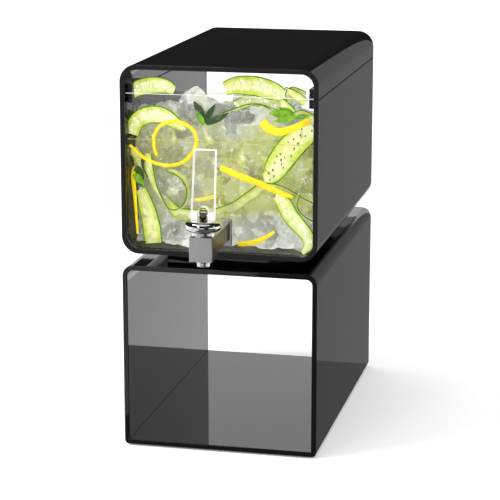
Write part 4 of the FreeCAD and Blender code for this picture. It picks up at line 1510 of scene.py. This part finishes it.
@dataclass
class Studio:
    """White floor, soft lights, hidden reflector cards and the camera."""

    azimuth: float = 12.782
    drop: float = 13.263
    place: tuple[float, float, float] = (0.447772, -1.959570, 0.664908)
    lens: float = 133.436
    floor_reach: float = 14.0
    sky_strength: float = 1.25

    def plain(
        self, name: str, colour: Colour, strength: float = 0.0, lift: float = 0.0
    ) -> bpy.types.Material:
        """Makes a matt material, or a glowing one where strength is above 0; lift fills its shadows."""
        made = bpy.data.materials.new(name)
        made.use_nodes = True
        made.node_tree.nodes.clear()
        t = Tree(made.node_tree)
        if strength:
            shader = t.node("ShaderNodeEmission", {"Color": colour, "Strength": strength})
        else:
            shader = t.node("ShaderNodeBsdfDiffuse", {"Color": colour})
        if lift:
            glow = t.node("ShaderNodeEmission", {"Strength": lift})
            shader = t.node("ShaderNodeAddShader", {0: shader.outputs[0], 1: glow.outputs[0]})
        t.node("ShaderNodeOutputMaterial", {0: shader.outputs[0]})
        return made

    @staticmethod
    def hang(name: str, data: bpy.types.ID, place: Colour = (0.0, 0.0, 0.0)) -> bpy.types.Object:
        """Puts a light, a camera or a card in the scene."""
        made = link(name, data)
        made.location = place
        return made

    def sheet(self, name: str, corners: Sequence[Colour], material: bpy.types.Material) -> bpy.types.Object:
        """Makes a flat four-cornered sheet of the studio's own."""
        mesh = bpy.data.meshes.new(name)
        mesh.from_pydata([tuple(c) for c in corners], [], [(0, 1, 2, 3)])
        mesh.materials.append(material)
        return self.hang(name, mesh)

    def card(self, name: str, corners: Sequence[Colour], strength: float) -> None:
        """Hangs a flat white card of a brightness that only reflections see."""
        card = self.sheet(name, corners, self.plain(name, (1.0, 1.0, 1.0), strength))
        card.visible_camera = card.visible_diffuse = False
        card.visible_shadow = card.visible_transmission = False

    @staticmethod
    def upright(west: float, east: float, y: float, low: float, high: float) -> tuple[Colour, ...]:
        """Corners of a card that stands across the part at one place along it."""
        return ((west, y, low), (east, y, low), (east, y, high), (west, y, high))

    @staticmethod
    def facing(x: float, south: float, north: float, top: float) -> tuple[Colour, ...]:
        """Corners of a card that stands on the floor and faces along x."""
        return (x, south, 0.0), (x, north, 0.0), (x, north, top), (x, south, top)

    @staticmethod
    def flat(west: float, east: float, south: float, north: float, z: float = 0.002) -> tuple[Colour, ...]:
        """Corners of a card that lies just above the floor."""
        return ((west, south, z), (east, south, z), (east, north, z), (west, north, z))

    def floor(self) -> None:
        """Lays the white floor."""
        reach = self.floor_reach
        material = self.plain("floor_white", (0.82, 0.82, 0.82), lift=0.17)
        floor = self.sheet("floor", self.flat(-reach, reach, -reach, reach, 0.0), material)

    def sky(self) -> None:
        """White surroundings for sight and soft light, dark ones for reflections."""
        world = bpy.data.worlds.new("studio")
        bpy.context.scene.world = world
        world.cycles.sampling_method = "NONE"
        world.use_nodes = True
        world.node_tree.nodes.clear()
        t = Tree(world.node_tree)
        rays = t.node("ShaderNodeLightPath").outputs["Is Glossy Ray"]
        dim = t.node("ShaderNodeBackground", {"Color": (0.022, 0.022, 0.023)}).outputs[0]
        full = {"Color": (1.0, 1.0, 1.0), "Strength": self.sky_strength}
        bright = t.node("ShaderNodeBackground", full).outputs[0]
        pick = t.node("ShaderNodeMixShader", {0: rays, 1: bright, 2: dim})
        t.node("ShaderNodeOutputWorld", {0: pick.outputs[0]})

    def lamp(self, name: str, place: Colour, aim: Colour, size: tuple[float, float], power: float) -> None:
        """Hangs a rectangular soft light.

        Args:
            name: the light's name.
            place: where it hangs.
            aim: the point it faces.
            size: its width and height.
            power: its power in watts.
        """
        light = bpy.data.lights.new(name, "AREA")
        light.shape = "RECTANGLE"
        light.size, light.size_y = size
        light.energy = power
        lamp = self.hang(name, light, place)
        lamp.rotation_euler = (Vector(aim) - Vector(place)).to_track_quat("-Z", "Y").to_euler()

    def sun(self, name: str, place: Colour, spread: float, strength: float) -> None:
        """Hangs a soft far light that shines alike on the whole floor.

        Args:
            name: the light's name.
            place: a point on the line from the part to the light.
            spread: its width in degrees, which softens the shadow.
            strength: its strength.
        """
        light = bpy.data.lights.new(name, "SUN")
        light.angle = math.radians(spread)
        light.energy = strength
        lamp = self.hang(name, light, place)
        lamp.rotation_euler = (-Vector(place)).to_track_quat("-Z", "Y").to_euler()

    def camera(self) -> None:
        """Stands the camera at the viewing angle."""
        lens = bpy.data.cameras.new("camera")
        lens.lens = self.lens
        lens.sensor_width = 36.0
        lens.clip_start, lens.clip_end = 0.05, 60.0
        camera = self.hang("camera", lens, self.place)
        camera.rotation_euler = (math.radians(90.0 - self.drop), 0.0, math.radians(self.azimuth))
        bpy.context.scene.camera = camera

    def build(self) -> None:
        """Sets up the whole studio."""
        scene = bpy.context.scene
        scene.view_settings.view_transform = "Standard"
        scene.cycles.transparent_max_bounces = 24
        low, high = CAD_BOX
        self.floor()
        self.sky()
        self.sun("key", (-1.2, -0.6, 1.6), 20.0, 2.0)
        self.lamp("front", (-0.55, -1.7, 1.1), (0.0, -0.13, 0.3), (0.3, 0.4), 3.0)
        right, rear = high.x + 0.001, high.y + 0.0015
        self.card("flag_right", self.upright(right, right + 0.11, rear, 0.0, 0.60), 0.25)
        self.card("floor_flag", self.flat(right, right + 0.3, low.y, rear), 0.14)
        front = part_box("base_plate")[0].y - 0.001
        self.card("floor_near", self.flat(-0.13, 1.0, -0.95, front), 0.12)
        self.card("floor_left", self.flat(-1.0, -0.13, -0.95, front), 0.85)
        self.card("floor_rear", self.flat(-1.0, right, rear, 0.7), 1.0)
        self.card("floor_far", self.flat(-1.5, 1.5, -3.2, -0.95), 0.45)
        self.card("tap_flag", self.facing(0.16, -0.75, -0.36, 0.55), 0.04)
        self.card("overhead", self.flat(-0.8, 0.8, -1.3, -0.4, 1.3), 0.9)
        self.card("side_strip", self.facing(1.4, -0.50, -0.30, 0.9), 1.0)
        self.card("back_card", self.upright(-0.8, 0.8, 0.7, 0.0, 0.40), 1.0)
        self.camera()


def main() -> None:
    """Finishes every part, fills the tank and sets up the studio."""
    logging.basicConfig(level=logging.INFO, format="%(name)s: %(message)s")
    for assembly in (RiserBase(), Tank(), Lid(), Tap(), Infusion(), Studio()):
        LOG.info("building %s", type(assembly).__name__)
        assembly.build()


if __name__ == "__main__":
    main()
